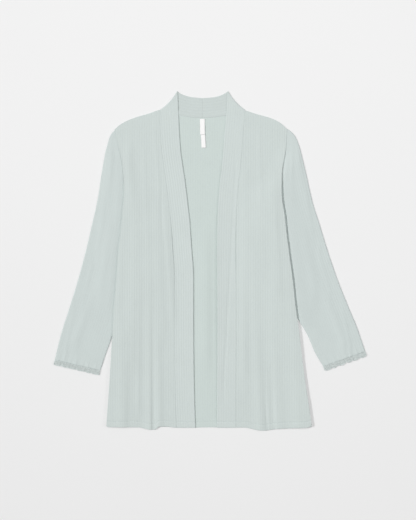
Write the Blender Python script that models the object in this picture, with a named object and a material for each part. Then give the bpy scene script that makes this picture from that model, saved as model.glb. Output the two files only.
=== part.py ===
"""An open-front pajama cardigan in rib knit, laid flat on its back with the sleeves tucked beside the body.

X runs to the wearer's left, Y up the garment and Z up from the surface that it lies on.
In the names, left is towards -X and right towards +X, as seen from above.
The tables below hold millimetres. The meshes are in metres.
The body is a back, two fronts and a neck band cut in two strips, joined at the centre back.
Each strip is folded over at the side of the neck and runs down the front edge.
The sleeves are flattened tubes, whose inner edges lie under the body between armpit and fork.
"""

import math
from collections import namedtuple

import bmesh
import bpy
import numpy as np

MM = 0.001

# Cloth
WALL = 1.3
SEAM_GAP = 0.3
RIB_PITCH = 5.8
RIB_HEIGHT = 0.5
INSIDE_RIB_HEIGHT = 0.3
BAND_WIDTH = 45.0
BAND_RIBS = 8
CENTRE_BACK = -17.0
HEM_Y = -400.0
BAND_TOP_Y = 388.0

# Heights of the middle of each wall above the surface
BACK_MIDDLE = WALL / 2
FRONT_MIDDLE = WALL + INSIDE_RIB_HEIGHT + SEAM_GAP + WALL / 2
SIDE_DROP = 0.3
SLEEVE_MIDDLE = WALL + SEAM_GAP + WALL / 2
SLEEVE_LIFT = SLEEVE_MIDDLE + WALL / 2 + RIB_HEIGHT + SEAM_GAP

# The body rises over the tucked sleeves: width of the slope, and how far it ends before the sleeve's fold
LIFT_SLOPE = 30.0
BACK_LIFT_END = 10.0
FRONT_LIFT_END = 16.0

# Distances over which folds come in: from a front's seams, from a band's fold, from a sleeve's own folds
# and from the body's side, and how far a fold fades past its ends
SEAM_EASE = 12.0
BAND_EASE = 60.0
SLEEVE_EASE = 14.0
BODY_CLEARANCE = 6.0
BODY_EASE = 16.0
FOLD_FADE = 40.0

# Steps of the meshes
TOP_STEP = RIB_PITCH / 2
COARSE_STEP = RIB_PITCH * 2
SNAP = 0.3
UNDER_COLUMNS = 2
COARSE_COLUMNS = 4
FOLD_STEPS = 4
TUBE_OUTER_STEPS = 4
TUBE_INNER_STEPS = 2
FRONT_SAMPLES = 121
BACK_SAMPLES = 241
SLEEVE_SAMPLES = 61
LOOP_SAMPLES = 121

# The back's inside is ribbed this far past the bands' free edges. Its plain columns are coarse from here
# outwards, with two more beside the neck.
WINDOW_MARGIN = 4.0
COARSE_FROM = 90.0
BESIDE_NECK = (-85.0, 48.0)
COLUMN_CLEARANCE = 1.0
BACK_HEM_SHARE = 0.5

# Lace at the wrists
LACE_WALL = 1.0
LACE_DEPTH = 12.0
SCALLOPS = 6
SCALLOP_DEPTH = 3.0
SCALLOP_COLUMNS = 4
SCALLOP_SAMPLES = 20
MIDDLE_SCALLOP_SHARE = 0.2

LABEL_THICKNESS = 1.0
LABEL_CLEARANCE = 0.3

# Colour and roughness
CLOTH_LOOK = ((0.585, 0.665, 0.645, 1.0), 0.9)
BAND_LOOK = ((0.575, 0.655, 0.635, 1.0), 0.9)
SLEEVE_LOOK = ((0.575, 0.66, 0.635, 1.0), 0.9)
LACE_LOOK = ((0.62, 0.69, 0.67, 1.0), 0.8)
LABEL_LOOK = ((0.90, 0.90, 0.88, 1.0), 0.6)

BodyRow = namedtuple("BodyRow", "side_y band_y left right shoulder hem")
SideX = namedtuple("SideX", "y left right")
Point = namedtuple("Point", "x y")
Wave = namedtuple("Wave", "x drop")
Fold = namedtuple("Fold", "top_x top_y end_x end_y top_height end_height half_width")
BackSection = namedtuple("BackSection", "top_x top_y seam_x")
BandRow = namedtuple("BandRow", "free_y seam_y")
SleeveRow = namedtuple("SleeveRow", "outer_x outer_y inner_x inner_y")

# Rows of the body from shoulder to hem: y at the side seam and at the band, x of each side seam,
# and the shares of the shoulder's curve and of the hem's waves that the row follows
BODY_ROWS = [
    BodyRow(314, 360, -229.0, 185.0, 1.00, 0.0),
    BodyRow(290, 338, -223.5, 183.5, 0.75, 0.0),
    BodyRow(262, 306, -217.0, 181.0, 0.45, 0.0),
    BodyRow(232, 268, -211.0, 175.5, 0.20, 0.0),
    BodyRow(204, 222, -207.5, 172.0, 0.05, 0.0),
    BodyRow(178, 178, -206.0, 171.4, 0.00, 0.0),
    BodyRow(150, 150, -206.5, 172.4, 0.00, 0.0),
    BodyRow(112, 112, -210.0, 178.3, 0.00, 0.0),
    BodyRow(64, 64, -214.5, 183.5, 0.00, 0.0),
    BodyRow(10, 10, -220.5, 190.5, 0.00, 0.0),
    BodyRow(-50, -50, -224.5, 198.5, 0.00, 0.0),
    BodyRow(-110, -110, -230.0, 205.0, 0.00, 0.0),
    BodyRow(-172, -172, -233.5, 213.6, 0.00, 0.0),
    BodyRow(-236, -236, -237.5, 221.0, 0.00, 0.1),
    BodyRow(-302, -302, -241.5, 229.8, 0.00, 0.4),
    BodyRow(-360, -360, -245.5, 238.5, 0.00, 0.8),
    BodyRow(-400, -400, -248.0, 243.5, 0.00, 1.0),
]
SIDES = [SideX(row.side_y, row.left, row.right) for row in BODY_ROWS]

# Free edge of the neck band down each front
FREE_EDGES = [
    SideX(406, -78.6, 43.0),
    SideX(388, -77.2, 41.4),
    SideX(350, -75.6, 38.8),
    SideX(302, -73.4, 34.6),
    SideX(268, -71.0, 32.0),
    SideX(222, -64.8, 28.4),
    SideX(188, -59.8, 25.0),
    SideX(150, -55.2, 19.4),
    SideX(96, -49.0, 18.0),
    SideX(29, -44.4, 17.0),
    SideX(-38, -39.8, 17.4),
    SideX(-173, -39.6, 17.8),
    SideX(-341, -37.2, 17.0),
    SideX(-400, -34.8, 16.8),
]

# Shoulder lines from the armhole seam to the side of the neck
LEFT_SHOULDER = [
    Point(-228.6, 312.0),
    Point(-221.0, 319.5),
    Point(-206.0, 330.0),
    Point(-192.0, 336.5),
    Point(-177.5, 342.0),
    Point(-149.0, 350.4),
    Point(-134.5, 355.4),
    Point(-120.3, 359.6),
]
RIGHT_SHOULDER = [
    Point(184.8, 314.0),
    Point(180.0, 319.5),
    Point(168.0, 330.0),
    Point(154.0, 338.0),
    Point(139.0, 343.6),
    Point(110.0, 351.4),
    Point(97.0, 355.6),
    Point(84.3, 359.6),
]
# Back neck seam between the shoulders
NECKLINE = [
    Point(-120.3, 359.6),
    Point(-110.0, 354.8),
    Point(-98.4, 351.3),
    Point(-73.4, 347.5),
    Point(-48.0, 343.2),
    Point(-17.0, 341.0),
    Point(10.0, 343.2),
    Point(38.0, 346.8),
    Point(60.0, 351.3),
    Point(74.0, 354.8),
    Point(84.3, 359.6),
]

# Drop of the fronts' hem below the hem line
HEM_WAVES = [
    Wave(-248, -5.0),
    Wave(-243, -1.0),
    Wave(-170, 0.0),
    Wave(-156, 3.0),
    Wave(-144, 5.5),
    Wave(-132, 5.4),
    Wave(-122, -2.0),
    Wave(-108, -2.0),
    Wave(-84, 0.8),
    Wave(-40, 1.6),
    Wave(0, 0.5),
    Wave(80, 0.5),
    Wave(96, 2.5),
    Wave(108, 5.5),
    Wave(120, 7.4),
    Wave(132, 7.8),
    Wave(144, 6.2),
    Wave(156, 4.2),
    Wave(192, 2.2),
    Wave(230, 0.6),
    Wave(244, -4.0),
]

# Soft folds of the fronts, the largest first
FRONT_FOLDS = [
    Fold(-146, 30, -143, -400, 0.3, 2.6, 11),
    Fold(-128, 20, -121, -400, 0.2, 2.2, 9),
    Fold(98, 60, 122, -400, 0.3, 2.4, 13),
    Fold(-210, -190, -214, -400, 1.2, 2.0, 12),
    Fold(150, -140, 168, -400, 0.4, 1.8, 12),
    Fold(-108, 130, -92, -120, 0.6, 1.6, 10),
    Fold(-176, 110, -186, -220, 0.5, 1.4, 13),
    Fold(-194, 250, -186, 120, 1.6, 0.5, 10),
    Fold(84, 200, 82, -240, 0.6, 1.4, 11),
    Fold(-128, 120, -112, -150, 0.4, 1.2, 10),
    Fold(150, 180, 158, -60, 0.8, 1.0, 12),
]

# Height of each band's free edge above where it would lie flat
EDGE_RISE = [
    SideX(388, 0.0, 0.0),
    SideX(300, 0.3, 0.3),
    SideX(160, 0.6, 1.2),
    SideX(40, 0.6, 2.4),
    SideX(-90, 0.6, 2.8),
    SideX(-250, 0.6, 1.4),
    SideX(-400, 0.4, 0.4),
]

# Sections of each band over the back of the neck, from the centre back
LEFT_BAND_BACK = [
    BackSection(CENTRE_BACK - SEAM_GAP / 2, 389.8, CENTRE_BACK - SEAM_GAP / 2),
    BackSection(-43.2, 391.9, -48.0),
    BackSection(-62.4, 397.0, -73.4),
    BackSection(-71.5, 401.0, -98.4),
]
RIGHT_BAND_BACK = [
    BackSection(CENTRE_BACK + SEAM_GAP / 2, 389.8, CENTRE_BACK + SEAM_GAP / 2),
    BackSection(4.8, 391.3, 10.0),
    BackSection(25.0, 396.0, 38.0),
    BackSection(35.5, 401.0, 60.0),
]
# The line that each band folds over at the side of the neck, from its top to its foot
LEFT_BAND_FOLD = (-77.9, 405.4, -118.6, 360.6)
RIGHT_BAND_FOLD = (42.3, 405.4, 82.7, 360.6)
BAND_FOLD_BOW = 3.6
# Sections of the bands down the fronts
BAND_ROWS = [
    BandRow(388, 338),
    BandRow(350, 306),
    BandRow(302, 268),
    BandRow(244, 222),
    BandRow(188, 178),
    BandRow(150, 150),
    BandRow(112, 112),
    BandRow(64, 64),
    BandRow(10, 10),
    BandRow(-50, -50),
    BandRow(-110, -110),
    BandRow(-172, -172),
    BandRow(-236, -236),
    BandRow(-302, -302),
    BandRow(-360, -360),
    BandRow(-401, -401),
]

# Sleeve sections from armhole to wrist, across from the outer fold to the inner fold
LEFT_SLEEVE = [
    SleeveRow(-229.5, 313.0, -207.1, 150.0),
    SleeveRow(-240.0, 298.0, -202.0, 133.0),
    SleeveRow(-246.0, 280.0, -196.0, 122.0),
    SleeveRow(-251.0, 259.0, -186.0, 104.0),
    SleeveRow(-261.0, 202.0, -171.0, 62.0),
    SleeveRow(-270.0, 144.0, -170.0, 16.0),
    SleeveRow(-283.0, 86.0, -180.0, -34.0),
    SleeveRow(-300.0, 14.0, -196.0, -84.0),
    SleeveRow(-319.0, -55.0, -214.0, -134.0),
    SleeveRow(-337.0, -113.0, -234.0, -181.0),
    SleeveRow(-357.0, -176.0, -249.6, -224.0),
    SleeveRow(-372.4, -238.3, -263.0, -263.5),
]
RIGHT_SLEEVE = [
    SleeveRow(186.5, 316.0, 173.0, 150.0),
    SleeveRow(198.0, 307.0, 170.0, 134.0),
    SleeveRow(205.0, 296.0, 162.0, 120.0),
    SleeveRow(216.0, 268.0, 152.0, 98.0),
    SleeveRow(232.0, 202.0, 141.0, 56.0),
    SleeveRow(245.0, 144.0, 146.0, 10.0),
    SleeveRow(263.0, 86.0, 160.0, -32.0),
    SleeveRow(284.0, 18.0, 180.0, -78.0),
    SleeveRow(306.0, -46.0, 209.0, -137.0),
    SleeveRow(329.0, -104.0, 234.0, -179.0),
    SleeveRow(353.0, -162.0, 252.0, -221.0),
    SleeveRow(372.3, -218.0, 271.5, -254.0),
]
# Where the inner folds would run above the armpits, which keeps the body down there
TUCK_RUNS_OUT = [Point(48.0, 204.0), Point(108.0, 320.0)]
# Line of the straight grain along each sleeve, which its ribs follow
SLEEVE_GRAIN = [
    SideX(330, -237.0, 201.0),
    SideX(259, -250.5, 219.0),
    SideX(202, -261.0, 232.0),
    SideX(144, -270.0, 245.0),
    SideX(86, -283.0, 263.0),
    SideX(29, -296.5, 280.5),
    SideX(-29, -312.0, 300.0),
    SideX(-86, -329.0, 322.0),
    SideX(-144, -347.0, 345.0),
    SideX(-202, -367.0, 366.0),
    SideX(-290, -392.0, 398.0),
]
SLEEVE_SLANT = 0.95

# Soft folds of the sleeves' upper layers
SLEEVE_FOLDS = [
    Fold(-244, 214, -262, 60, 1.0, 0.5, 10),
    Fold(-244, 60, -262, -60, 0.7, 1.2, 11),
    Fold(-272, -60, -322, -190, 0.4, 1.4, 11),
    Fold(212, 236, 236, 90, 1.0, 0.5, 10),
    Fold(222, 80, 250, -60, 0.6, 1.4, 12),
    Fold(270, -70, 320, -190, 0.4, 1.5, 11),
]

# Corners of the two blank label pieces, from the top left
UPPER_LABEL = [Point(-24.2, 339.6), Point(-12.4, 339.8), Point(-12.0, 302.6), Point(-23.6, 302.4)]
LOWER_LABEL = [Point(-21.6, 301.6), Point(-11.6, 302.0), Point(-9.8, 270.6), Point(-20.2, 270.0)]


def side_x(table, y, side):
    """The x that a table gives at y, on the left (side -1) or the right (side 1)."""
    rows = sorted(table)
    return np.interp(y, [row.y for row in rows], [row.left if side < 0 else row.right for row in rows])


def smooth_step(value):
    """0 below 0, 1 above 1, and a soft step between."""
    held = np.clip(value, 0.0, 1.0)
    return held * held * (3.0 - 2.0 * held)


def run_lengths(path):
    """Distance along a path at each of its points."""
    steps = np.linalg.norm(np.diff(path, axis=0), axis=1)
    return np.concatenate([[0.0], np.cumsum(steps)])


def at_lengths(path, lengths):
    """Points at these distances along a path."""
    reached = run_lengths(path)
    return np.column_stack([np.interp(lengths, reached, path[:, axis]) for axis in (0, 1)])


def fold_height(folds, x, y):
    """Height that soft folds add at a point: each is a ridge that fades past its ends."""
    total = np.zeros(np.broadcast(x, y).shape)
    for fold in folds:
        share = np.clip((fold.top_y - y) / (fold.top_y - fold.end_y), 0.0, 1.0)
        ridge_x = fold.top_x + (fold.end_x - fold.top_x) * share
        height = fold.top_height + (fold.end_height - fold.top_height) * share
        past = np.maximum(y - fold.top_y, 0.0) + np.maximum(fold.end_y - y, 0.0) * (fold.end_y > HEM_Y)
        height = height * np.exp(-((past / FOLD_FADE) ** 2))
        total = total + height * np.exp(-(((x - ridge_x) / fold.half_width) ** 2))
    return total


def tuck_edge(y, side):
    """How far from the middle the sleeve's inner fold lies at y, carried outwards above the armpit."""
    table = LEFT_SLEEVE if side < 0 else RIGHT_SLEEVE
    armpit = abs(table[0].inner_x)
    points = [(row.inner_y, abs(row.inner_x)) for row in table]
    points += [(point.y, armpit + point.x) for point in TUCK_RUNS_OUT]
    points.sort()
    return np.interp(y, [p[0] for p in points], [p[1] for p in points])


def body_lift(x, y, ends_before):
    """The body's rise where it lies on the tucked edges of the sleeves."""
    edge = np.where(x < 0, tuck_edge(y, -1), tuck_edge(y, 1))
    return SLEEVE_LIFT * smooth_step((np.abs(x) - edge + ends_before) / LIFT_SLOPE + 1.0)


def front_middle(x, y, from_seam):
    """Middle of a front's wall, from_seam being the distance to its side or shoulder seam."""
    free = smooth_step(from_seam / SEAM_EASE)
    folds = fold_height(FRONT_FOLDS, x, y) * free
    return FRONT_MIDDLE - SIDE_DROP * (1.0 - free) + body_lift(x, y, FRONT_LIFT_END) + folds


class Mesh:
    """Vertices in millimetres and faces, with what it takes to skin rows and close walls."""

    def __init__(self):
        self.points = []
        self.faces = []

    def add(self, point):
        self.points.append(tuple(float(value) for value in point))
        return len(self.points) - 1

    def add_row(self, points, held_start=0, held_end=0):
        """Indices of a row. The points held at its start are one point, and so are those at its end."""
        count = len(points)
        first = self.add(points[0])
        last = self.add(points[-1])
        between = range(held_start + 1, count - 1 - held_end)
        ids = [first] * (held_start + 1)
        ids += [self.add(points[i]) for i in between]
        return ids + [last] * (held_end + 1)

    def face(self, *ids):
        kept = list(dict.fromkeys(ids))
        if len(kept) > 2:
            self.faces.append(kept)

    def skin(self, rows, closed=False):
        for row, following in zip(rows, rows[1:]):
            for i in range(len(row) if closed else len(row) - 1):
                j = (i + 1) % len(row)
                self.face(row[i], row[j], following[j], following[i])

    def shares(self, line):
        lengths = run_lengths(np.array([self.points[i] for i in line]))
        return lengths / lengths[-1]

    def zip_lines(self, first, second):
        """Triangles between two lines that run side by side with different numbers of points."""
        first = [i for n, i in enumerate(first) if n == 0 or i != first[n - 1]]
        second = [i for n, i in enumerate(second) if n == 0 or i != second[n - 1]]
        first_shares = self.shares(first)
        second_shares = self.shares(second)
        a = b = 0
        while a < len(first) - 1 or b < len(second) - 1:
            advance_first = b == len(second) - 1
            if not advance_first and a < len(first) - 1:
                advance_first = first_shares[a + 1] <= second_shares[b + 1]
            if advance_first:
                self.face(first[a], first[a + 1], second[b])
                a += 1
            else:
                self.face(first[a], second[b + 1], second[b])
                b += 1

    def build(self, name, material):
        data = bpy.data.meshes.new(name)
        points = [tuple(MM * value for value in point) for point in self.points]
        data.from_pydata(points, [], self.faces)
        work = bmesh.new()
        work.from_mesh(data)
        bmesh.ops.delete(work, geom=[v for v in work.verts if not v.link_faces], context="VERTS")
        bmesh.ops.triangulate(work, faces=work.faces[:])
        bmesh.ops.recalc_face_normals(work, faces=work.faces[:])
        if work.calc_volume(signed=True) < 0:
            bmesh.ops.reverse_faces(work, faces=work.faces[:])
        work.to_mesh(data)
        work.free()
        data.materials.append(material)
        obj = bpy.data.objects.new(name, data)
        bpy.context.scene.collection.objects.link(obj)
        return obj


def cut_row(path, grain, columns):
    """Points where a path crosses the grain's columns, held to its ends, and how many are held at each."""
    values = grain(path[:, 0], path[:, 1])
    if values[0] > values[-1]:
        path = path[::-1]
        values = values[::-1]
    held = np.clip(columns, values[0], values[-1])
    points = np.column_stack([np.interp(held, values, path[:, axis]) for axis in (0, 1)])
    held_start = max(int((columns <= values[0] + SNAP).sum()) - 1, 0)
    held_end = max(int((columns >= values[-1] - SNAP).sum()) - 1, 0)
    return points, held_start, held_end


def rib_heights(count, held_start, held_end, height):
    """Height at each column of a row: every other column is a crest, and what is held at an end is flat."""
    raised = np.zeros(count)
    raised[1::2] = height
    raised[: held_start + 1] = 0.0
    raised[count - 1 - held_end :] = 0.0
    return raised


def straight_grain(x, y):
    return x


def panel(name, top_rows, under_rows, material):
    """A wall between two skins, each given as rows of points with the counts held at their ends."""
    mesh = Mesh()
    top = [mesh.add_row(*row) for row in top_rows]
    under = [mesh.add_row(*row) for row in under_rows]
    mesh.skin(top)
    mesh.skin(under)
    for end in (0, -1):
        mesh.zip_lines(top[end], under[end])
        mesh.skin([[row[end] for row in top], [row[end] for row in under]])
    return mesh.build(name, material)


def shoulder_path(side):
    """The shoulder line as a fine path."""
    path = np.array(LEFT_SHOULDER if side < 0 else RIGHT_SHOULDER)
    return at_lengths(path, np.linspace(0.0, run_lengths(path)[-1], FRONT_SAMPLES))


def front_paths(side):
    """Rows of a front, each a fine path from its side seam to its band."""
    shoulder = shoulder_path(side)
    share = np.linspace(0.0, 1.0, len(shoulder))
    bow = shoulder[:, 1] - (shoulder[0, 1] + share * (shoulder[-1, 1] - shoulder[0, 1]))
    paths = [shoulder]
    for row in BODY_ROWS[1:]:
        start = np.array([row.left if side < 0 else row.right, row.side_y])
        band_x = side_x(FREE_EDGES, row.band_y, side) + side * (BAND_WIDTH + SEAM_GAP)
        end = np.array([band_x, row.band_y])
        path = start + np.outer(share, end - start)
        waves = np.interp(path[:, 0], [wave.x for wave in HEM_WAVES], [wave.drop for wave in HEM_WAVES])
        path[:, 1] += row.shoulder * bow - row.hem * waves
        paths.append(path)
    return paths


def front(name, side, material):
    """A front, ribbed on top, from shoulder to hem."""
    paths = front_paths(side)
    reach = max(np.abs(path[:, 0]).max() for path in paths)
    columns = np.sort(side * np.arange(0.0, reach + RIB_PITCH, TOP_STEP))
    rows = {1: [], -1: []}
    for number, path in enumerate(paths):
        for up, chosen in ((1, columns), (-1, columns[::UNDER_COLUMNS])):
            points, start, end = cut_row(path, straight_grain, chosen)
            from_seam = np.linalg.norm(points - path[0], axis=1) * (number > 0)
            z = front_middle(points[:, 0], points[:, 1], from_seam) + up * WALL / 2
            if up > 0:
                z = z + rib_heights(len(chosen), start, end, RIB_HEIGHT)
            rows[up].append((np.column_stack([points, z]), start, end))
    return panel(name, rows[1], rows[-1], material)


def back_paths():
    """Rows of the back from its left side to its right, the first along both shoulders and the neck."""
    top = np.array(LEFT_SHOULDER[:-1] + NECKLINE + RIGHT_SHOULDER[-2::-1])
    share = np.linspace(0.0, 1.0, BACK_SAMPLES)
    fine = at_lengths(top, np.concatenate([share * run_lengths(top)[-1], run_lengths(top)]))
    paths = [fine[np.argsort(fine[:, 0], kind="stable")]]
    rise = top[:, 1] - np.interp(top[:, 0], top[[0, -1], 0], top[[0, -1], 1])
    for row in BODY_ROWS[1:]:
        x = row.left + share * (row.right - row.left)
        waves = np.interp(x, [wave.x for wave in HEM_WAVES], [wave.drop for wave in HEM_WAVES])
        shoulder = row.shoulder * np.interp(x, top[:, 0], rise)
        y = row.side_y + shoulder - BACK_HEM_SHARE * row.hem * waves
        paths.append(np.column_stack([x, y]))
    return paths


def back(name, material):
    """The back, flat underneath, with its inside ribbed where the open front shows it."""
    window_left = side_x(FREE_EDGES, BAND_TOP_Y, -1) - WINDOW_MARGIN
    window_right = side_x(FREE_EDGES, BAND_TOP_Y, 1) + WINDOW_MARGIN
    ribbed = np.arange(window_left, window_right, TOP_STEP)
    count = math.ceil(max(max(-row.left, row.right) for row in BODY_ROWS) / COARSE_STEP)
    coarse = np.arange(-count, count + 1) * COARSE_STEP
    neck = np.array([point.x for point in NECKLINE])
    plain = np.sort(np.concatenate([coarse[np.abs(coarse) > COARSE_FROM], neck, BESIDE_NECK]))
    outside_left = plain[plain < window_left - COLUMN_CLEARANCE]
    outside_right = plain[plain > ribbed[-1] + COLUMN_CLEARANCE]
    columns = np.concatenate([outside_left, ribbed, outside_right])
    crests = slice(len(outside_left) + 1, len(outside_left) + len(ribbed), 2)
    rows = {1: [], -1: []}
    for path in back_paths():
        for up, chosen in ((1, columns), (-1, plain)):
            points, start, end = cut_row(path, straight_grain, chosen)
            z = BACK_MIDDLE + body_lift(points[:, 0], points[:, 1], BACK_LIFT_END) + up * WALL / 2
            if up > 0:
                z[crests] += INSIDE_RIB_HEIGHT
            rows[up].append((np.column_stack([points, z]), start, end))
    return panel(name, rows[1], rows[-1], material)


def band_sections(side):
    """Sections across a band, each with its two ends and its turn: pi behind the neck and 0 in front."""
    neck = np.array(NECKLINE)
    sections = []
    for part in LEFT_BAND_BACK if side < 0 else RIGHT_BAND_BACK:
        seam_y = np.interp(part.seam_x, neck[:, 0], neck[:, 1]) + SEAM_GAP
        sections.append(((part.top_x, part.top_y, part.seam_x, seam_y), math.pi))
    fold = LEFT_BAND_FOLD if side < 0 else RIGHT_BAND_FOLD
    sections += [(fold, angle) for angle in np.linspace(math.pi, 0.0, FOLD_STEPS + 1)]
    for row in BAND_ROWS:
        seam_x = side_x(FREE_EDGES, row.seam_y, side) + side * BAND_WIDTH
        sections.append(((side_x(FREE_EDGES, row.free_y, side), row.free_y, seam_x, row.seam_y), 0.0))
    return sections


def band(name, side, material):
    """One strip of the neck band: from the centre back, over the fold at the neck and down the front."""
    fold = LEFT_BAND_FOLD if side < 0 else RIGHT_BAND_FOLD
    fold_line = np.array([fold[2] - fold[0], fold[3] - fold[1]])
    fold_line = fold_line / np.linalg.norm(fold_line)
    outward = np.array([fold_line[1], -fold_line[0]]) * -side
    radius = (FRONT_MIDDLE - BACK_MIDDLE) / 2
    axis_z = (FRONT_MIDDLE + BACK_MIDDLE) / 2
    shares = np.linspace(0.0, 1.0, 2 * BAND_RIBS + 1)
    rows = {1: [], -1: []}
    for ends, turn in band_sections(side):
        for outer in (1, -1):
            xy = np.array(ends[:2]) + np.outer(shares, [ends[2] - ends[0], ends[3] - ends[1]])
            if ends == fold:
                xy = xy - np.outer(4.0 * BAND_FOLD_BOW * shares * (1.0 - shares), outward)
            reach = radius + outer * WALL / 2
            xy = xy + outward * (reach * math.sin(turn))
            z = np.full(len(shares), axis_z + reach * math.cos(turn))
            if turn == 0.0:
                from_fold = np.hypot(xy[:, 0] - fold[0], xy[:, 1] - fold[1])
                z += fold_height(FRONT_FOLDS, xy[:, 0], xy[:, 1]) * smooth_step(from_fold / BAND_EASE)
                z += side_x(EDGE_RISE, ends[1], side) * (1.0 - shares) ** 2
            if turn == 0.0 and outer > 0:
                z[1::2] += RIB_HEIGHT
            if turn == math.pi and outer < 0:
                z[1::2] += INSIDE_RIB_HEIGHT
            rows[outer].append((np.column_stack([xy, z]), 0, 0))
    return panel(name, rows[1], rows[-1], material)


def tube_loop(mesh, path, grain, columns, heights, top_z, steps):
    """A loop round a flattened tube's wall: over its top, round one fold, back under and round the other."""
    under_z, axis_z, inset = heights
    length = run_lengths(path)[-1]
    between_folds = at_lengths(path, np.linspace(inset, length - inset, LOOP_SAMPLES))
    top_points, start, end = cut_row(between_folds, grain, columns[0])
    under_points, under_start, under_end = cut_row(between_folds, grain, columns[1])
    z = top_z(top_points, start, end)
    top = mesh.add_row(np.column_stack([top_points, z]), start, end)
    flat = np.full(len(under_points), under_z)
    under = mesh.add_row(np.column_stack([under_points, flat]), under_start, under_end)
    radius = axis_z - under_z

    def fold(tip, inward, turns):
        away = (tip - inward) / np.linalg.norm(tip - inward)
        reach = [tip + away * radius * math.sin(turn) for turn in turns]
        return [mesh.add((xy[0], xy[1], axis_z + radius * math.cos(turn))) for xy, turn in zip(reach, turns)]

    turns = [math.pi * step / steps for step in range(1, steps)]
    far = fold(top_points[-1], top_points[-2 - end], turns)
    near = fold(top_points[0], top_points[1 + start], turns[::-1])
    return top + far + under[::-1] + near


def tube(name, paths, grain, columns, wall, top_middle, ribs, material):
    """A flattened tube, open at its first and last rows. Its lower layer lies on the surface."""
    mesh = Mesh()
    axis_z = wall + SEAM_GAP / 2
    inset = 2 * wall + SEAM_GAP

    def outer_top(points, start, end):
        raised = rib_heights(len(points), start, end, ribs)
        return top_middle(points) + wall / 2 + raised

    def inner_top(points, start, end):
        return top_middle(points) - wall / 2

    outer_heights = (0.0, axis_z, inset)
    inner_heights = (wall, axis_z, inset)
    inner_columns = (columns[1], columns[1])
    outer = [
        tube_loop(mesh, path, grain, columns, outer_heights, outer_top, TUBE_OUTER_STEPS)
        for path in paths
    ]
    inner = [
        tube_loop(mesh, path, grain, inner_columns, inner_heights, inner_top, TUBE_INNER_STEPS)
        for path in paths
    ]
    mesh.skin(outer, closed=True)
    mesh.skin(inner, closed=True)
    for end in (0, -1):
        mesh.zip_lines(outer[end] + outer[end][:1], inner[end] + inner[end][:1])
    return mesh.build(name, material)


def armhole_path(side):
    """The sleeve's first row, beside the body's side seam."""
    first = (LEFT_SLEEVE if side < 0 else RIGHT_SLEEVE)[0]
    y = np.linspace(first.outer_y, first.inner_y, SLEEVE_SAMPLES)
    return np.column_stack([side_x(SIDES, y, side) + side * 2 * SEAM_GAP, y])


def sleeve(name, side, material):
    """A sleeve from the armhole to the lace, with ribs along its straight grain."""
    paths = [armhole_path(side)]
    share = np.linspace(0.0, 1.0, SLEEVE_SAMPLES)
    for row in (LEFT_SLEEVE if side < 0 else RIGHT_SLEEVE)[1:]:
        outer_end = np.array([row.outer_x, row.outer_y])
        inner_end = np.array([row.inner_x, row.inner_y])
        paths.append(outer_end + np.outer(share, inner_end - outer_end))

    def grain(x, y):
        return (np.abs(side_x(SLEEVE_GRAIN, y, side)) - np.abs(x)) * SLEEVE_SLANT

    def top_middle(points):
        to_outer = np.linalg.norm(points - points[0], axis=1)
        to_inner = np.linalg.norm(points - points[-1], axis=1)
        from_body = np.abs(points[:, 0]) - np.abs(side_x(SIDES, points[:, 1], side)) - BODY_CLEARANCE
        free = smooth_step(np.minimum(to_outer, to_inner) / SLEEVE_EASE) * smooth_step(from_body / BODY_EASE)
        return SLEEVE_MIDDLE + fold_height(SLEEVE_FOLDS, points[:, 0], points[:, 1]) * free

    widest = max(grain(path[:, 0], path[:, 1]).max() for path in paths)
    fine = np.arange(0.0, widest + TOP_STEP, TOP_STEP)
    columns = (fine, fine[::COARSE_COLUMNS])
    return tube(name, paths, grain, columns, WALL, top_middle, RIB_HEIGHT, material)


def lace(name, side, material):
    """The lace round a wrist, with its lower edge in scallops."""
    last, wrist = (LEFT_SLEEVE if side < 0 else RIGHT_SLEEVE)[-2:]
    outer_end = np.array([wrist.outer_x, wrist.outer_y])
    inner_end = np.array([wrist.inner_x, wrist.inner_y])
    down = outer_end - np.array([last.outer_x, last.outer_y])
    down = down / np.linalg.norm(down)
    across = (inner_end - outer_end) / np.linalg.norm(inner_end - outer_end)
    width = np.linalg.norm(inner_end - outer_end)
    steps = SCALLOPS * SCALLOP_COLUMNS
    share = np.linspace(0.0, 1.0, SCALLOPS * SCALLOP_SAMPLES + 1)
    dips = SCALLOP_DEPTH * (1.0 - np.abs(np.sin(math.pi * SCALLOPS * share)))
    paths = []
    for depth, part in ((SEAM_GAP, 0.0), (LACE_DEPTH / 2, MIDDLE_SCALLOP_SHARE), (LACE_DEPTH, 1.0)):
        start = outer_end + down * depth
        path = start + np.outer(share, inner_end - outer_end)
        paths.append(path - np.outer(dips * part, down))

    def grain(x, y):
        return (x - outer_end[0]) * across[0] + (y - outer_end[1]) * across[1]

    def top_middle(points):
        return np.full(len(points), 1.5 * LACE_WALL + SEAM_GAP)

    columns = np.linspace(0.0, width, steps + 1)
    return tube(name, paths, grain, (columns, columns), LACE_WALL, top_middle, 0.0, material)


def label(name, corners, material):
    """A flat blank tape on the inside of the back."""
    mesh = Mesh()
    low = WALL + INSIDE_RIB_HEIGHT + LABEL_CLEARANCE
    rings = [[mesh.add((point.x, point.y, z)) for point in corners] for z in (low, low + LABEL_THICKNESS)]
    mesh.face(*rings[0])
    mesh.face(*rings[1])
    mesh.skin(rings, closed=True)
    return mesh.build(name, material)


def centre_on_origin():
    """Moves every mesh so that the middle of the whole garment's underside is the origin."""
    objects = list(bpy.context.scene.collection.objects)
    corners = np.array([vertex.co[:] for obj in objects for vertex in obj.data.vertices])
    low = corners.min(axis=0)
    high = corners.max(axis=0)
    shift = ((low[0] + high[0]) / 2, (low[1] + high[1]) / 2, low[2])
    for obj in objects:
        for vertex in obj.data.vertices:
            vertex.co.x -= shift[0]
            vertex.co.y -= shift[1]
            vertex.co.z -= shift[2]
        obj.data.update()


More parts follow.
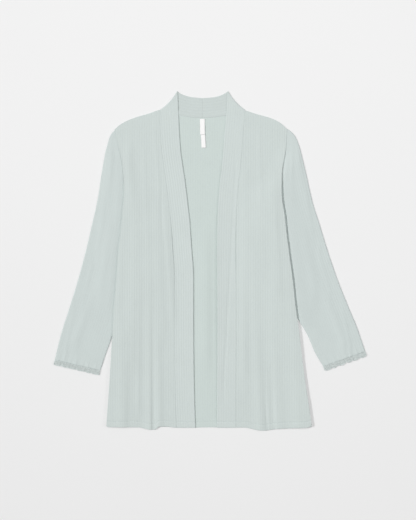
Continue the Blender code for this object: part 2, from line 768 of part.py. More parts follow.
def make_material(name, look):
    material = bpy.data.materials.new(name)
    material.use_nodes = True
    shader = material.node_tree.nodes["Principled BSDF"]
    colour, roughness = look
    shader.inputs["Base Color"].default_value = colour
    shader.inputs["Roughness"].default_value = roughness
    shader.inputs["Metallic"].default_value = 0.0
    return material


def main():
    for obj in list(bpy.data.objects):
        bpy.data.objects.remove(obj, do_unlink=True)
    back("back_panel", make_material("back_knit", CLOTH_LOOK))
    for side, hand in ((-1, "left"), (1, "right")):
        front("front_" + hand, side, make_material("front_knit_" + hand, CLOTH_LOOK))
        band("band_" + hand, side, make_material("band_knit_" + hand, BAND_LOOK))
        sleeve("sleeve_" + hand, side, make_material("sleeve_knit_" + hand, SLEEVE_LOOK))
        lace("cuff_lace_" + hand, side, make_material("lace_" + hand, LACE_LOOK))
    label("label_upper", UPPER_LABEL, make_material("label_tape_upper", LABEL_LOOK))
    label("label_lower", LOWER_LABEL, make_material("label_tape_lower", LABEL_LOOK))
    centre_on_origin()


main()
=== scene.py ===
"""The looks of an open-front pajama cardigan in rib knit, laid flat and seen from straight above.

Each piece is a thin closed shell on its solid's form, with finer ribs, rounded edges and more creases.
The tables hold millimetres in the garment's own frame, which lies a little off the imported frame.
In the names, left is towards -X and right towards +X, as seen from above.
"""

import math
from collections import namedtuple

import bmesh
import bpy
import numpy as np
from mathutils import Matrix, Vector


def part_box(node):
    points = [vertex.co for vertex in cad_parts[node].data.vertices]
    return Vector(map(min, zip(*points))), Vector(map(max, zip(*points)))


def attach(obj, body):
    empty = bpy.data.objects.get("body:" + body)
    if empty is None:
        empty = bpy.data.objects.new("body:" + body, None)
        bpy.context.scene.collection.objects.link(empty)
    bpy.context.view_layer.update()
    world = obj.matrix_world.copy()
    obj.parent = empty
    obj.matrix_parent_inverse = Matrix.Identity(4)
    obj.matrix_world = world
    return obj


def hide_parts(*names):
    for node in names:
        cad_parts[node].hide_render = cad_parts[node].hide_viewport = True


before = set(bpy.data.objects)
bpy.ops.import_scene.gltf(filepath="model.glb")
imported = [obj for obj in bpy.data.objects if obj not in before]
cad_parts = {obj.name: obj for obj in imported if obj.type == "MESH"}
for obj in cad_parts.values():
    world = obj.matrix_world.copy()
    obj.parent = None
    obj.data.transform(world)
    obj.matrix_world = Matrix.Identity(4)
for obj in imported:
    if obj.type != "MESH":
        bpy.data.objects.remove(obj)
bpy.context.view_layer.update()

MM = 0.001

# Cloth: its wall, its ribs, and the gaps between layers and at seams
WALL = 1.3
SEAM_GAP = 0.3
RIB_PITCH = 5.8
RIB_HEIGHT = 0.26
SLEEVE_RIB_HEIGHT = 0.13
INSIDE_RIB_HEIGHT = 0.1
LAYER_GAP = 0.6
RIB_FADE = 1.5
RIB_SHARPNESS = 0.6
BAND_WIDTH = 45.0
BAND_RIBS = 8
CENTRE_BACK = -17.0
HEM_Y = -400.0
BACK_MIDDLE = WALL / 2
FRONT_MIDDLE = WALL + LAYER_GAP + WALL / 2
SIDE_DROP = 0.3
SLEEVE_MIDDLE = WALL + SEAM_GAP + WALL / 2
# Rise of the body over the sleeves' tucked edges
LEFT_LIFT = 3.7
RIGHT_LIFT = 5.2
LIFT_SLOPE = 30.0
BACK_LIFT_END = 10.0
FRONT_LIFT_END = 16.0
# Width of the fronts' rise over the sleeves, by y: it widens below the armpits
FRONT_SLOPES = [(-160.0, 120.0), (-60.0, 106.0), (56.0, 96.0), (130.0, 86.0), (200.0, 84.0)]
# Distances over which heights ease in from seams, from the sleeves' folds and from the body's edge
SEAM_EASE = 12.0
BAND_EASE = 60.0
SLEEVE_EASE = 14.0
BODY_CLEARANCE = 6.0
BODY_EASE = 16.0
FOLD_FADE = 40.0
# Share of the fronts' hem waves that the back's hem follows
BACK_HEM_SHARE = 0.5
# Lace: how far it reaches past the wrist, and its scallops
LACE_DEPTH = 12.0
SCALLOPS = 6
LEFT_SCALLOP = 1.7
RIGHT_SCALLOP = 3.4

# Fine form of the shells: spacing of their points, and the flat rim at their edges
FINE_STEP = 0.85
ROW_STEP = 3.6
BAND_ROW_STEP = 2.6
BAND_NECK_STEP = 2.0
BAND_COLUMNS = 56
SLEEVE_COLUMNS = 200
COARSE_STEP = 6.0
COARSE_ROW_STEP = 12.0
EDGE_STEPS = np.array([0.0, 0.12, 0.35, 0.7, 1.3])
COARSE_EDGE_STEPS = np.array([0.0, 0.7])
COARSE_SLEEVE_COLUMNS = 40
SIDE_COLUMNS = 24
COARSE_BACK_COLUMNS = 64
FOLD_TURNS = 13
SLEEVE_TURNS = 9
COARSE_SLEEVE_TURNS = 5
WRIST_STITCH_ROW = -4
PATH_POINTS = 61
SHOULDER_POINTS = 400
TABLE_POINTS = 3201
FAR_AWAY = 1e3

# Free edges are round. Seams close up, and only a shallow valley shows
FREE_RIM = 0.25
FREE_ROUND = 1.3
SEAM_RIM = 0.38
SEAM_ROUND = 1.0
CLOSED_SEAM = 0.05

# Turned hems: the height that the second layer adds, and the groove of the stitching
HEM_DEPTH = 14.0
HEM_RISE = 0.45
HEM_SLOPE = 2.0
GROOVE_DEPTH = 0.6
GROOVE_HALF_WIDTH = 1.1
HEM_STEPS = np.array(
    [0.0, 0.12, 0.35, 0.7, 1.3, 3.5, 7.0, 10.5, 12.6, 13.3, 13.7, 14.0, 14.3, 14.7, 15.4, 17.0]
)

# Seam allowance behind the neck: its rise, the slopes at its two edges and the groove of its stitching
ALLOWANCE_RISE = 0.8
ALLOWANCE_DEPTH = 14.5
ALLOWANCE_SLOPES = (1.6, 1.5)
ALLOWANCE_GROOVE = 13.0
ALLOWANCE_GROOVE_HALF_WIDTH = 1.3

# Stitches of the sewing thread, and their thickness from end to end
STITCH_PITCH = 3.0
STITCH_LENGTH = 2.2
STITCH_RADIUS = 0.22
STITCH_SWELL = np.array([0.3, 0.8, 1.0, 0.8, 0.3])
ROUND_SIDES = 6

# Knit for the material: loops along a rib, wales across one, and how much darker the inside is
LOOP_PITCH = 1.7
WALES = 3
INSIDE_SHADE = 0.045

# Camera and the photograph's framing, in the garment's frame
MM_PER_PIXEL = 2.4
IMAGE_SIZE = (416, 520)
IMAGE_CENTRE = (-4.8, 1.2)
LENS = 85.0
SENSOR = 36.0

# Light: strengths and places of the world, of the suns at the left and right, and of the disc above
WORLD_LIGHT = 0.278
LEFT_LIGHT = 1.80
RIGHT_LIGHT = 0.48
OVERHEAD_LIGHT = 21.2
LEFT_PLACE = (-2.6, 0.5, 2.7)
RIGHT_PLACE = (2.6, 0.3, 2.0)
OVERHEAD_PLACE = (0.0, 0.7, 2.7)
LEFT_ANGLE = 12.0
RIGHT_ANGLE = 24.0
OVERHEAD_SIZE = 1.8

# The floor's own light at the middle, and its growth per metre towards +Y
FLOOR_GLOW = 0.290
FLOOR_SLOPE = 0.03
FLOOR_TONES = (0.56, 0.57)
FLOOR_SIZE = 12.0
FLOOR_Z = -0.0002

# Colours of the cloths, and the painted shade that darkens the troughs between their ribs
BODY_COLOUR = (0.600, 0.662, 0.645)
BACK_COLOUR = (0.594, 0.668, 0.644)
# The band's colour is the body's cloth with painted light: a little lighter to offset the shade on its tilted
# face
BAND_COLOUR_AND_PAINTED_LIGHT = (0.612, 0.674, 0.658)
SLEEVE_COLOUR = (0.598, 0.661, 0.648)
LACE_COLOUR = (0.655, 0.72, 0.705)
THREAD_COLOUR = (0.53, 0.60, 0.58)
TAPE_COLOUR = (0.95, 0.945, 0.94)
THREAD_SHADE = 0.94
# Painted shade: how much darker the base colour is in the rib troughs, on the body and on the sleeves
PAINTED_RIB_SHADE = 0.03
SLEEVE_PAINTED_RIB_SHADE = 0.02

BodyRow = namedtuple("BodyRow", "side_y band_y left right shoulder hem")
SideValues = namedtuple("SideValues", "y left right")
Point = namedtuple("Point", "x y")
Wave = namedtuple("Wave", "x drop")
Level = namedtuple("Level", "y height")
Fold = namedtuple("Fold", "top_x top_y end_x end_y top_height end_height half_width")
BackSection = namedtuple("BackSection", "top_x top_y seam_x")
BandRow = namedtuple("BandRow", "free_y seam_y")
BandEnds = namedtuple("BandEnds", "free_x free_y seam_x seam_y")
SleeveRow = namedtuple("SleeveRow", "outer_x outer_y inner_x inner_y")
Gather = namedtuple("Gather", "place half_width height")
Ripple = namedtuple("Ripple", "height turns start")
Mottling = namedtuple("Mottling", "scale detail share")


def rows_of(kind, *rows):
    """A table whose rows have named columns."""
    return [kind(*row) for row in rows]


# Strength and depth in metres of the relief, the fuzz's share of it, and the scales of other grains
KNIT_RELIEF = (0.25, 0.0002)
THREAD_RELIEF = (0.2, 0.0001)
FUZZ_RELIEF = 0.8
THREAD_GRAIN = 900.0
LACE_GRAIN = 700.0
TAPE_GRAIN = 1200.0
FLOOR_GRAIN = 2.0
GRAIN_DETAIL = 2.0

# Uneven yarn: scale and detail of each noise, and the share of light that it takes
MOTTLE = Mottling(18.0, 3.0, 0.06)
HEATHER = Mottling(430.0, 1.0, 0.10)
FUZZ = Mottling(1400.0, 2.0, 0.05)

# Rows of the body from shoulder to hem: y at the side seam and at the band, x of each side seam,
# and the shares of the shoulder's curve and of the hem's waves that the row follows
BODY_ROWS = rows_of(
    BodyRow,
    (314, 360, -229.0, 185.0, 1.00, 0.0),
    (290, 338, -223.5, 183.5, 0.75, 0.0),
    (262, 306, -217.0, 181.0, 0.45, 0.0),
    (232, 268, -211.0, 175.5, 0.20, 0.0),
    (204, 222, -207.5, 172.0, 0.05, 0.0),
    (178, 178, -206.0, 171.4, 0.00, 0.0),
    (150, 150, -206.5, 172.4, 0.00, 0.0),
    (112, 112, -210.0, 178.3, 0.00, 0.0),
    (64, 64, -214.5, 183.5, 0.00, 0.0),
    (10, 10, -220.5, 190.5, 0.00, 0.0),
    (-50, -50, -224.5, 198.5, 0.00, 0.0),
    (-110, -110, -230.0, 205.0, 0.00, 0.0),
    (-172, -172, -233.5, 213.6, 0.00, 0.0),
    (-236, -236, -237.5, 221.0, 0.00, 0.1),
    (-302, -302, -241.5, 229.8, 0.00, 0.4),
    (-360, -360, -245.5, 238.5, 0.00, 0.8),
    (-400, -400, -248.0, 243.5, 0.00, 1.0),
)
SIDES = [SideValues(row.side_y, row.left, row.right) for row in BODY_ROWS]

# Free edge of the neck band down each front
FREE_EDGES = rows_of(
    SideValues,
    (406, -78.6, 43.0),
    (388, -77.2, 41.4),
    (350, -75.6, 38.8),
    (302, -73.4, 34.6),
    (268, -71.0, 32.0),
    (222, -64.8, 28.0),
    (188, -59.8, 24.0),
    (150, -55.2, 20.6),
    (96, -49.0, 18.2),
    (29, -44.4, 17.0),
    (-38, -39.8, 17.4),
    (-173, -39.6, 17.8),
    (-341, -37.2, 17.0),
    (-400, -34.8, 16.8),
)

# Shoulder lines from the armhole seam to the side of the neck
LEFT_SHOULDER = rows_of(
    Point,
    (-228.6, 312.0),
    (-221.0, 319.5),
    (-206.0, 330.0),
    (-192.0, 336.5),
    (-177.5, 342.0),
    (-149.0, 350.4),
    (-134.5, 355.4),
    (-120.3, 359.6),
)
RIGHT_SHOULDER = rows_of(
    Point,
    (184.8, 314.0),
    (180.0, 319.5),
    (168.0, 330.0),
    (154.0, 338.0),
    (139.0, 343.6),
    (110.0, 351.4),
    (97.0, 355.6),
    (84.3, 359.6),
)
# Back neck seam between the shoulders
NECKLINE = rows_of(
    Point,
    (-120.3, 359.6),
    (-110.0, 354.8),
    (-98.4, 351.3),
    (-73.4, 347.5),
    (-48.0, 343.2),
    (-17.0, 341.0),
    (10.0, 343.2),
    (38.0, 346.8),
    (60.0, 351.3),
    (74.0, 354.8),
    (84.3, 359.6),
)

# Drop of the fronts' hem below the hem line
HEM_WAVES = rows_of(
    Wave,
    (-248, -5.0),
    (-243, -1.0),
    (-170, 0.0),
    (-156, 3.0),
    (-144, 5.5),
    (-132, 5.4),
    (-122, -2.0),
    (-108, -2.0),
    (-84, 0.8),
    (-40, 1.6),
    (0, 0.5),
    (80, 0.5),
    (96, 2.5),
    (108, 5.5),
    (120, 7.4),
    (132, 7.8),
    (144, 6.2),
    (156, 4.2),
    (192, 2.2),
    (230, 0.6),
    (244, -4.0),
)

# Soft folds of the fronts, the largest first
FRONT_FOLDS = rows_of(
    Fold,
    (-146, 30, -143, -400, 0.3, 2.6, 11),
    (-128, 20, -121, -400, 0.2, 2.2, 9),
    (98, 60, 122, -400, 0.3, 2.4, 13),
    (-210, -190, -214, -400, 1.2, 2.0, 12),
    (150, -140, 168, -400, 0.4, 1.8, 12),
    (-108, 130, -92, -120, 0.6, 1.6, 10),
    (-176, 110, -186, -220, 0.5, 1.4, 13),
    (-194, 250, -186, 120, 1.6, 0.5, 10),
    (84, 200, 82, -240, 0.6, 1.4, 11),
    (-128, 120, -112, -150, 0.4, 1.2, 10),
    (150, 180, 158, -60, 0.8, 1.0, 12),
)

# Height of each band's free edge above where it would lie flat
EDGE_RISE = rows_of(
    SideValues,
    (388, 0.0, 0.0),
    (300, 0.3, 0.3),
    (160, 0.6, 1.2),
    (40, 0.6, 2.4),
    (-90, 0.6, 2.8),
    (-250, 0.6, 1.4),
    (-400, 0.4, 0.4),
)

# Sections of each band over the back of the neck, from the centre back
LEFT_BAND_BACK = rows_of(
    BackSection,
    (CENTRE_BACK - SEAM_GAP / 2, 389.8, CENTRE_BACK - SEAM_GAP / 2),
    (-43.2, 391.9, -48.0),
    (-62.4, 397.0, -73.4),
    (-71.5, 401.0, -98.4),
)
RIGHT_BAND_BACK = rows_of(
    BackSection,
    (CENTRE_BACK + SEAM_GAP / 2, 389.8, CENTRE_BACK + SEAM_GAP / 2),
    (4.8, 391.3, 10.0),
    (25.0, 396.0, 38.0),
    (35.5, 401.0, 60.0),
)
# The line that each band folds over at the side of the neck, from its top to its foot
LEFT_BAND_FOLD = BandEnds(-77.9, 405.4, -118.6, 360.6)
RIGHT_BAND_FOLD = BandEnds(42.3, 405.4, 82.7, 360.6)
BAND_FOLD_BOW = 3.6
# Sections of the bands down the fronts, whose free ends lie higher near the neck than their seam ends
BAND_TOPS = [388, 350, 302, 244, 188]
BAND_SEAMS = [row.band_y for row in BODY_ROWS[1:-1]] + [HEM_Y - 1.0]
BAND_ROWS = [BandRow(*ends) for ends in zip(BAND_TOPS + BAND_SEAMS[len(BAND_TOPS) :], BAND_SEAMS)]

# Sleeve sections from armhole to wrist, across from the outer fold to the inner fold
LEFT_SLEEVE = rows_of(
    SleeveRow,
    (-229.5, 313.0, -207.1, 150.0),
    (-239.0, 300.0, -206.8, 149.0),
    (-245.0, 282.0, -206.0, 146.0),
    (-251.0, 259.0, -202.5, 134.0),
    (-256.0, 231.0, -190.0, 103.0),
    (-261.0, 202.0, -171.0, 62.0),
    (-270.0, 144.0, -170.0, 16.0),
    (-283.0, 86.0, -180.0, -34.0),
    (-300.0, 14.0, -196.0, -84.0),
    (-319.0, -55.0, -214.0, -134.0),
    (-337.0, -113.0, -234.0, -181.0),
    (-357.0, -176.0, -249.6, -224.0),
    (-372.4, -238.3, -263.0, -263.5),
)
RIGHT_SLEEVE = rows_of(
    SleeveRow,
    (186.5, 316.0, 173.0, 150.0),
    (197.0, 307.0, 173.0, 149.0),
    (206.0, 295.0, 172.5, 147.0),
    (216.0, 268.0, 170.0, 140.0),
    (224.0, 236.0, 162.0, 112.0),
    (232.0, 202.0, 141.0, 56.0),
    (245.0, 144.0, 146.0, 10.0),
    (263.0, 86.0, 160.0, -32.0),
    (284.0, 18.0, 180.0, -78.0),
    (306.0, -46.0, 209.0, -137.0),
    (329.0, -104.0, 234.0, -179.0),
    (353.0, -162.0, 252.0, -221.0),
    (372.3, -218.0, 271.5, -254.0),
)
# Where the inner folds would run above the armpits, which keeps the body down there
TUCK_RUNS_OUT = rows_of(Point, (48.0, 204.0), (108.0, 320.0))
# Line of the straight grain along each sleeve, which its ribs follow
SLEEVE_GRAIN = rows_of(
    SideValues,
    (330, -237.0, 201.0),
    (259, -250.5, 219.0),
    (202, -261.0, 232.0),
    (144, -270.0, 245.0),
    (86, -283.0, 263.0),
    (29, -296.5, 280.5),
    (-29, -312.0, 300.0),
    (-86, -329.0, 322.0),
    (-144, -347.0, 345.0),
    (-202, -367.0, 366.0),
    (-290, -392.0, 398.0),
)
SLEEVE_SLANT = 0.95
# Height of each sleeve's swell beside the body's edge, by y
SWELLS = rows_of(
    SideValues,
    (260, 0.0, 0.0),
    (218, 0.9, 2.8),
    (-90, 1.5, 3.4),
    (-130, 0.8, 2.2),
    (-160, 0.0, 0.0),
)
# Width of the trench between the body's edge and the swell, and of the swell's rise from it
LEFT_TRENCH = (0.0, 15.0)
RIGHT_TRENCH = (4.3, 1.5)
SWELL_WIDTH = 55.0

# Soft folds of the sleeves' upper layers
SLEEVE_FOLDS = rows_of(
    Fold,
    (-244, 214, -262, 60, 1.0, 0.5, 10),
    (-244, 60, -262, -60, 0.7, 1.2, 11),
    (-272, -60, -322, -190, 0.4, 1.4, 11),
    (212, 236, 236, 90, 1.0, 0.5, 10),
    (222, 80, 250, -60, 0.6, 1.4, 12),
    (270, -70, 320, -190, 0.4, 1.5, 11),
)

# Corners of the two blank label pieces, from the top left
UPPER_LABEL = rows_of(Point, (-24.2, 339.6), (-12.4, 339.8), (-12.0, 302.1), (-23.6, 301.9))
LOWER_LABEL = rows_of(Point, (-21.6, 301.7), (-11.6, 301.9), (-9.8, 270.6), (-20.2, 270.0))

# Soft creases that are too fine for the solids
FINE_FRONT_FOLDS = rows_of(
    Fold,
    (-138, -120, -136, -400, -0.2, -1.7, 5),
    (-120, 230, -116, 110, -0.1, -0.35, 4),
    (-116, 110, -95, -130, -0.35, -0.2, 4),
    (-104, 60, -84, -120, 0.1, 0.3, 7),
    (132, -330, 138, -400, -0.2, -1.2, 4),
    (150, -340, 156, -400, -0.2, -1.0, 4),
    (61, 205, 33, -292, -0.35, -0.6, 3.2),
    (-168, -60, -172, -330, 0.3, 0.9, 6),
    (-196, -140, -204, -400, 0.2, 0.8, 7),
    (-158, 230, -150, 60, 0.5, 0.3, 6),
    (-132, 300, -122, 180, 0.3, 0.6, 5),
    (-216, 60, -222, -120, 0.6, 0.3, 7),
    (78, -60, 84, -300, 0.2, 0.4, 9),
    (138, -260, 140, -400, 0.2, 1.1, 5),
    (156, -290, 160, -400, 0.2, 0.9, 5),
    (196, -150, 214, -400, 0.2, 0.7, 10),
    (118, 290, 122, 170, 0.4, 0.5, 6),
    (158, 96, 168, -40, 0.5, 0.3, 6),
)
# Height of a soft ridge in the back beside the right band, by y, and the start and width of its two slopes
BACK_RIDGE = rows_of(Level, (-310, 0.0), (-200, 1.8), (-60, 1.7), (30, 1.0), (100, 0.0))
RIDGE_RISES = (-38.0, 28.0)
RIDGE_FALLS = (-9.0, 18.0)
FINE_SLEEVE_FOLDS = rows_of(
    Fold,
    (-236, 250, -242, 150, 0.9, 0.3, 6),
    (-256, 120, -270, 20, 0.4, 0.5, 6),
    (-286, -20, -306, -110, 0.5, 0.3, 6),
    (-330, -130, -346, -215, 0.3, 0.6, 5),
    (196, 250, 196, 170, 0.9, 0.2, 5),
    (232, 150, 246, 60, 0.5, 0.3, 6),
    (262, 10, 286, -70, 0.4, 0.4, 6),
    (318, -120, 336, -205, 0.3, 0.7, 5),
)
# Gathers above the lace: place as a share of the wrist from its outer fold, width in mm and height
GATHERS = rows_of(
    Gather,
    (0.08, 3.0, 0.5),
    (0.19, 3.6, 0.8),
    (0.33, 3.0, 0.6),
    (0.45, 4.2, 0.9),
    (0.60, 3.2, 0.5),
    (0.71, 3.8, 0.8),
    (0.88, 3.0, 0.6),
)
GATHER_LENGTH = 26.0


def smooth_curve(at, knots, values):
    """A smooth curve through values at rising knots, level where they turn, and held past its ends."""
    knots = np.asarray(knots, float)
    values = np.asarray(values, float)
    steps = np.diff(knots)
    slopes = np.diff(values) / steps
    before = slopes[:-1]
    after = slopes[1:]
    runs_on = before * after > 0
    weight_before = 2 * steps[1:] + steps[:-1]
    weight_after = steps[1:] + 2 * steps[:-1]
    shares = weight_before / np.where(runs_on, before, 1.0) + weight_after / np.where(runs_on, after, 1.0)
    inner = np.where(runs_on, (weight_before + weight_after) / np.where(runs_on, shares, 1.0), 0.0)
    tangents = np.concatenate([slopes[:1], inner, slopes[-1:]])
    held = np.clip(at, knots[0], knots[-1])
    i = np.clip(np.searchsorted(knots, held, side="right") - 1, 0, len(steps) - 1)
    t = (held - knots[i]) / steps[i]
    start = values[i] * (1 + 2 * t) * (1 - t) ** 2 + tangents[i] * steps[i] * t * (1 - t) ** 2
    return start + values[i + 1] * t * t * (3 - 2 * t) - tangents[i + 1] * steps[i] * t * t * (1 - t)


def along(table, at, knot, value):
    """A smooth curve through one column of a table, by the places in another."""
    return smooth_curve(at, [getattr(row, knot) for row in table], [getattr(row, value) for row in table])


def at_side(table, y, side):
    """The x or height that a table gives at y, on the left (side -1) or the right (side 1)."""
    return along(sorted(table), y, "y", "left" if side < 0 else "right")


def smooth_step(value):
    """0 below 0, 1 above 1, and a soft step between."""
    held = np.clip(value, 0.0, 1.0)
    return held * held * (3.0 - 2.0 * held)


def unit(vector):
    return vector / np.linalg.norm(vector)


def run_lengths(path):
    """Distance along a path at each of its points."""
    steps = np.linalg.norm(np.diff(path, axis=0), axis=1)
    return np.concatenate([[0.0], np.cumsum(steps)])


def at_lengths(path, lengths):
    """Points at these distances along a path."""
    reached = run_lengths(path)
    return np.column_stack([np.interp(lengths, reached, path[:, axis]) for axis in range(path.shape[1])])


def spread(length, step, first, last):
    """Distances from 0 to length: an even step between closer ones at the two ends."""
    count = max(int(round((length - first[-1] - last[-1]) / step)), 2)
    middle = np.linspace(first[-1], length - last[-1], count + 1)
    return np.concatenate([first[:-1], middle, (length - last[:-1])[::-1]])


def fold_height(folds, x, y):
    """Height that soft folds add at a point: each is a ridge that fades past its ends."""
    total = np.zeros(np.broadcast(x, y).shape)
    for fold in folds:
        share = np.clip((fold.top_y - y) / (fold.top_y - fold.end_y), 0.0, 1.0)
        ridge_x = fold.top_x + (fold.end_x - fold.top_x) * share
        height = fold.top_height + (fold.end_height - fold.top_height) * share
        past = np.maximum(y - fold.top_y, 0.0) + np.maximum(fold.end_y - y, 0.0) * (fold.end_y > HEM_Y)
        height = height * np.exp(-((past / FOLD_FADE) ** 2))
        total = total + height * np.exp(-(((x - ridge_x) / fold.half_width) ** 2))
    return total


def rib(grain, height):
    """Height of the ribs at this distance across the grain: broad crests and narrow valleys."""
    return height * np.abs(np.sin(math.pi * grain / RIB_PITCH)) ** RIB_SHARPNESS


def rounded(from_edge, rim, reach):
    """Half of a wall's thickness at this distance from an edge that is rounded over a reach."""
    share = 1.0 - np.clip(from_edge / reach, 0.0, 1.0)
    return rim + (WALL / 2 - rim) * np.sqrt(1.0 - share**2)


def half_wall(from_free, from_seam):
    """Half of a wall's thickness between its free edges and its seams."""
    return np.minimum(rounded(from_free, FREE_RIM, FREE_ROUND), rounded(from_seam, SEAM_RIM, SEAM_ROUND))


def hem_form(from_hem):
    """Height of a turned hem's second layer, less the groove of its stitching."""
    turned = HEM_RISE * smooth_step((HEM_DEPTH + HEM_SLOPE / 2 - from_hem) / HEM_SLOPE)
    return turned - GROOVE_DEPTH * np.exp(-(((from_hem - HEM_DEPTH) / GROOVE_HALF_WIDTH) ** 2))


def tuck_edge(y, side):
    """How far from the middle the sleeve's inner fold lies at y, carried outwards above the armpit."""
    table = LEFT_SLEEVE if side < 0 else RIGHT_SLEEVE
    armpit = abs(table[0].inner_x)
    points = [(row.inner_y, abs(row.inner_x)) for row in table]
    points += [(point.y, armpit + point.x) for point in TUCK_RUNS_OUT]
    points.sort()
    return smooth_curve(y, [p[0] for p in points], [p[1] for p in points])


def body_lift(x, y, ends_before, slope):
    """The body's rise where it lies on the tucked edges of the sleeves."""
    edge = np.where(x < 0, tuck_edge(y, -1), tuck_edge(y, 1))
    height = np.where(x < 0, LEFT_LIFT, RIGHT_LIFT)
    return height * smooth_step((np.abs(x) - edge + ends_before) / slope + 1.0)


def front_middle(x, y, from_seam):
    """Middle of a front's wall, from_seam being the distance to its side or shoulder seam."""
    free = smooth_step(from_seam / SEAM_EASE)
    folds = fold_height(FRONT_FOLDS + FINE_FRONT_FOLDS, x, y) * free
    lift = body_lift(x, y, FRONT_LIFT_END, np.interp(y, *zip(*FRONT_SLOPES)))
    return FRONT_MIDDLE - SIDE_DROP * (1.0 - free) + lift + folds


def band_seam_x(y, side):
    """The x of the seam between a band and its front, which starts at the foot of the band's fold."""
    fold = LEFT_BAND_FOLD if side < 0 else RIGHT_BAND_FOLD
    away = 1.0 - smooth_step((fold.seam_y - y) / (fold.seam_y - BAND_ROWS[0].seam_y))
    along_fold = fold.seam_x - (at_side(FREE_EDGES, fold.seam_y, side) + side * BAND_WIDTH)
    return at_side(FREE_EDGES, y, side) + side * BAND_WIDTH + away * along_fold


def top_line(x):
    """The y of the shoulders and of the back neck seam."""
    points = LEFT_SHOULDER[:-1] + NECKLINE + RIGHT_SHOULDER[-2::-1]
    return along(points, x, "x", "y")


class Shell:
    """Points in millimetres, each with its place in the knit, and the faces between them."""

    def __init__(self):
        self.points = []
        self.knit = []
        self.faces = []

    def add(self, points, knit, inside=0.0):
        """Indices of a grid of points, with its ribs across, its loops along and whether it is inside."""
        first = len(self.points)
        self.points += points.reshape(-1, 3).tolist()
        self.knit += [[ribs, loops, inside] for ribs, loops in knit.reshape(-1, 2).tolist()]
        return np.arange(first, len(self.points)).reshape(points.shape[:-1])

    def skin(self, ids, closed=False):
        """Quads over a grid, which is closed round each row if it belongs to a tube."""
        if closed:
            ids = np.concatenate([ids, ids[:, :1]], axis=1)
        quads = np.stack([ids[:-1, :-1], ids[:-1, 1:], ids[1:, 1:], ids[1:, :-1]], axis=-1)
        self.faces += quads.reshape(-1, 4).tolist()

    def shares(self, line):
        """How far along a line each of its points lies, from 0 to 1."""
        lengths = run_lengths(np.array([self.points[i] for i in line]))
        return lengths / lengths[-1]

    def zip_lines(self, first, second):
        """Triangles between two lines that run side by side with different numbers of points."""
        first_shares = self.shares(first)
        second_shares = self.shares(second)
        a = b = 0
        while a < len(first) - 1 or b < len(second) - 1:
            advance_first = b == len(second) - 1
            if not advance_first and a < len(first) - 1:
                advance_first = first_shares[a + 1] <= second_shares[b + 1]
            if advance_first:
                self.faces.append([int(first[a]), int(first[a + 1]), int(second[b])])
                a += 1
            else:
                self.faces.append([int(first[a]), int(second[b + 1]), int(second[b])])
                b += 1

    def tube(self, rings):
        """A closed tube through rings of points, with flat ends."""
        ids = self.add(rings, rings[..., :2])
        self.skin(ids, closed=True)
        self.faces += [ids[0].tolist(), ids[-1].tolist()]

    def close(self, top, under):
        """Both skins of a panel and the rim between their borders."""
        self.skin(top)
        self.skin(under)
        for first, second in ((top[0], under[0]), (top[-1], under[-1]), (top[:, 0], under[:, 0])):
            self.zip_lines(first, second)
        self.zip_lines(top[:, -1], under[:, -1])

    def build(self, name, material):
        """The shell as a piece in metres that rides on the garment, no lower than the surface under it."""
        data = bpy.data.meshes.new(name)
        places = np.array(self.points) + np.append(SHIFT, 0.0)
        places[:, 2] = np.maximum(places[:, 2], 0.0)
        data.from_pydata((places * MM).tolist(), [], self.faces)
        spot = data.attributes.new("knit", "FLOAT_VECTOR", "POINT")
        spot.data.foreach_set("vector", np.array(self.knit).ravel())
        work = bmesh.new()
        work.from_mesh(data)
        bmesh.ops.recalc_face_normals(work, faces=work.faces[:])
        if work.calc_volume(signed=True) < 0:
            bmesh.ops.reverse_faces(work, faces=work.faces[:])
        work.to_mesh(data)
        work.free()
        data.shade_smooth()
        data.materials.append(material)
        obj = bpy.data.objects.new(name, data)
        bpy.context.scene.collection.objects.link(obj)
        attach(obj, "root")
        return obj


def garment_shift():
    """From the garment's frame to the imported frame, read from where a label's corner was packed."""
    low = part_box("label_upper")[0]
    corner = (min(point.x for point in UPPER_LABEL), min(point.y for point in UPPER_LABEL))
    return np.array([low.x / MM - corner[0], low.y / MM - corner[1]])


SHIFT = garment_shift()


def declare(node):
    """Hides the solid that a sheet stands for."""
    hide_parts(node)


def knit_places(grid):
    """Ribs across and loops along at each point of a panel whose ribs run with Y."""
    return np.stack([grid[..., 0] / RIB_PITCH, grid[..., 1] / LOOP_PITCH], axis=-1)


def hem_row(grid, from_hem):
    """The row of a grid that the hem's stitching follows."""
    return grid[int(np.argmin(np.abs(from_hem - HEM_DEPTH)))]


def body_column(at, name):
    """One column of the body's table at these places along it."""
    return smooth_curve(at, np.arange(len(BODY_ROWS)), [getattr(row, name) for row in BODY_ROWS])


def body_rows(step, first, last):
    """Rows of the body at an even step, and how far down each one is."""
    fine = np.linspace(0.0, len(BODY_ROWS) - 1, TABLE_POINTS)
    side_y = body_column(fine, "side_y")
    band_y = body_column(fine, "band_y")
    fall = (side_y[0] + band_y[0] - side_y - band_y) / 2
    down = spread(fall[-1], step, first, last)
    rows = []
    for place in np.interp(down, fall, fine):
        y, seam_y, shoulder, hem = [
            float(body_column(place, name)) for name in ("side_y", "band_y", "shoulder", "hem")
        ]
        left, right = [float(at_side(SIDES, y, side)) for side in (-1, 1)]
        rows.append(BodyRow(y, seam_y, left, right, shoulder, hem))
    return rows, down


def hem_drop(x):
    """How far the fronts' hem drops below the hem line."""
    return along(HEM_WAVES, x, "x", "drop")


def front_path(row, side):
    """One row of a front as a fine path from its side seam to its band."""
    ends = LEFT_SHOULDER if side < 0 else RIGHT_SHOULDER
    share = np.linspace(0.0, 1.0, PATH_POINTS)
    shoulder_x = ends[0].x + share * (ends[-1].x - ends[0].x)
    bow = top_line(shoulder_x) - (ends[0].y + share * (ends[-1].y - ends[0].y))
    start = np.array([row.left if side < 0 else row.right, row.side_y])
    band_x = band_seam_x(row.band_y, side) + side * CLOSED_SEAM
    path = start + np.outer(share, np.array([band_x, row.band_y]) - start)
    path[:, 1] += row.shoulder * bow - row.hem * hem_drop(path[:, 0])
    return path


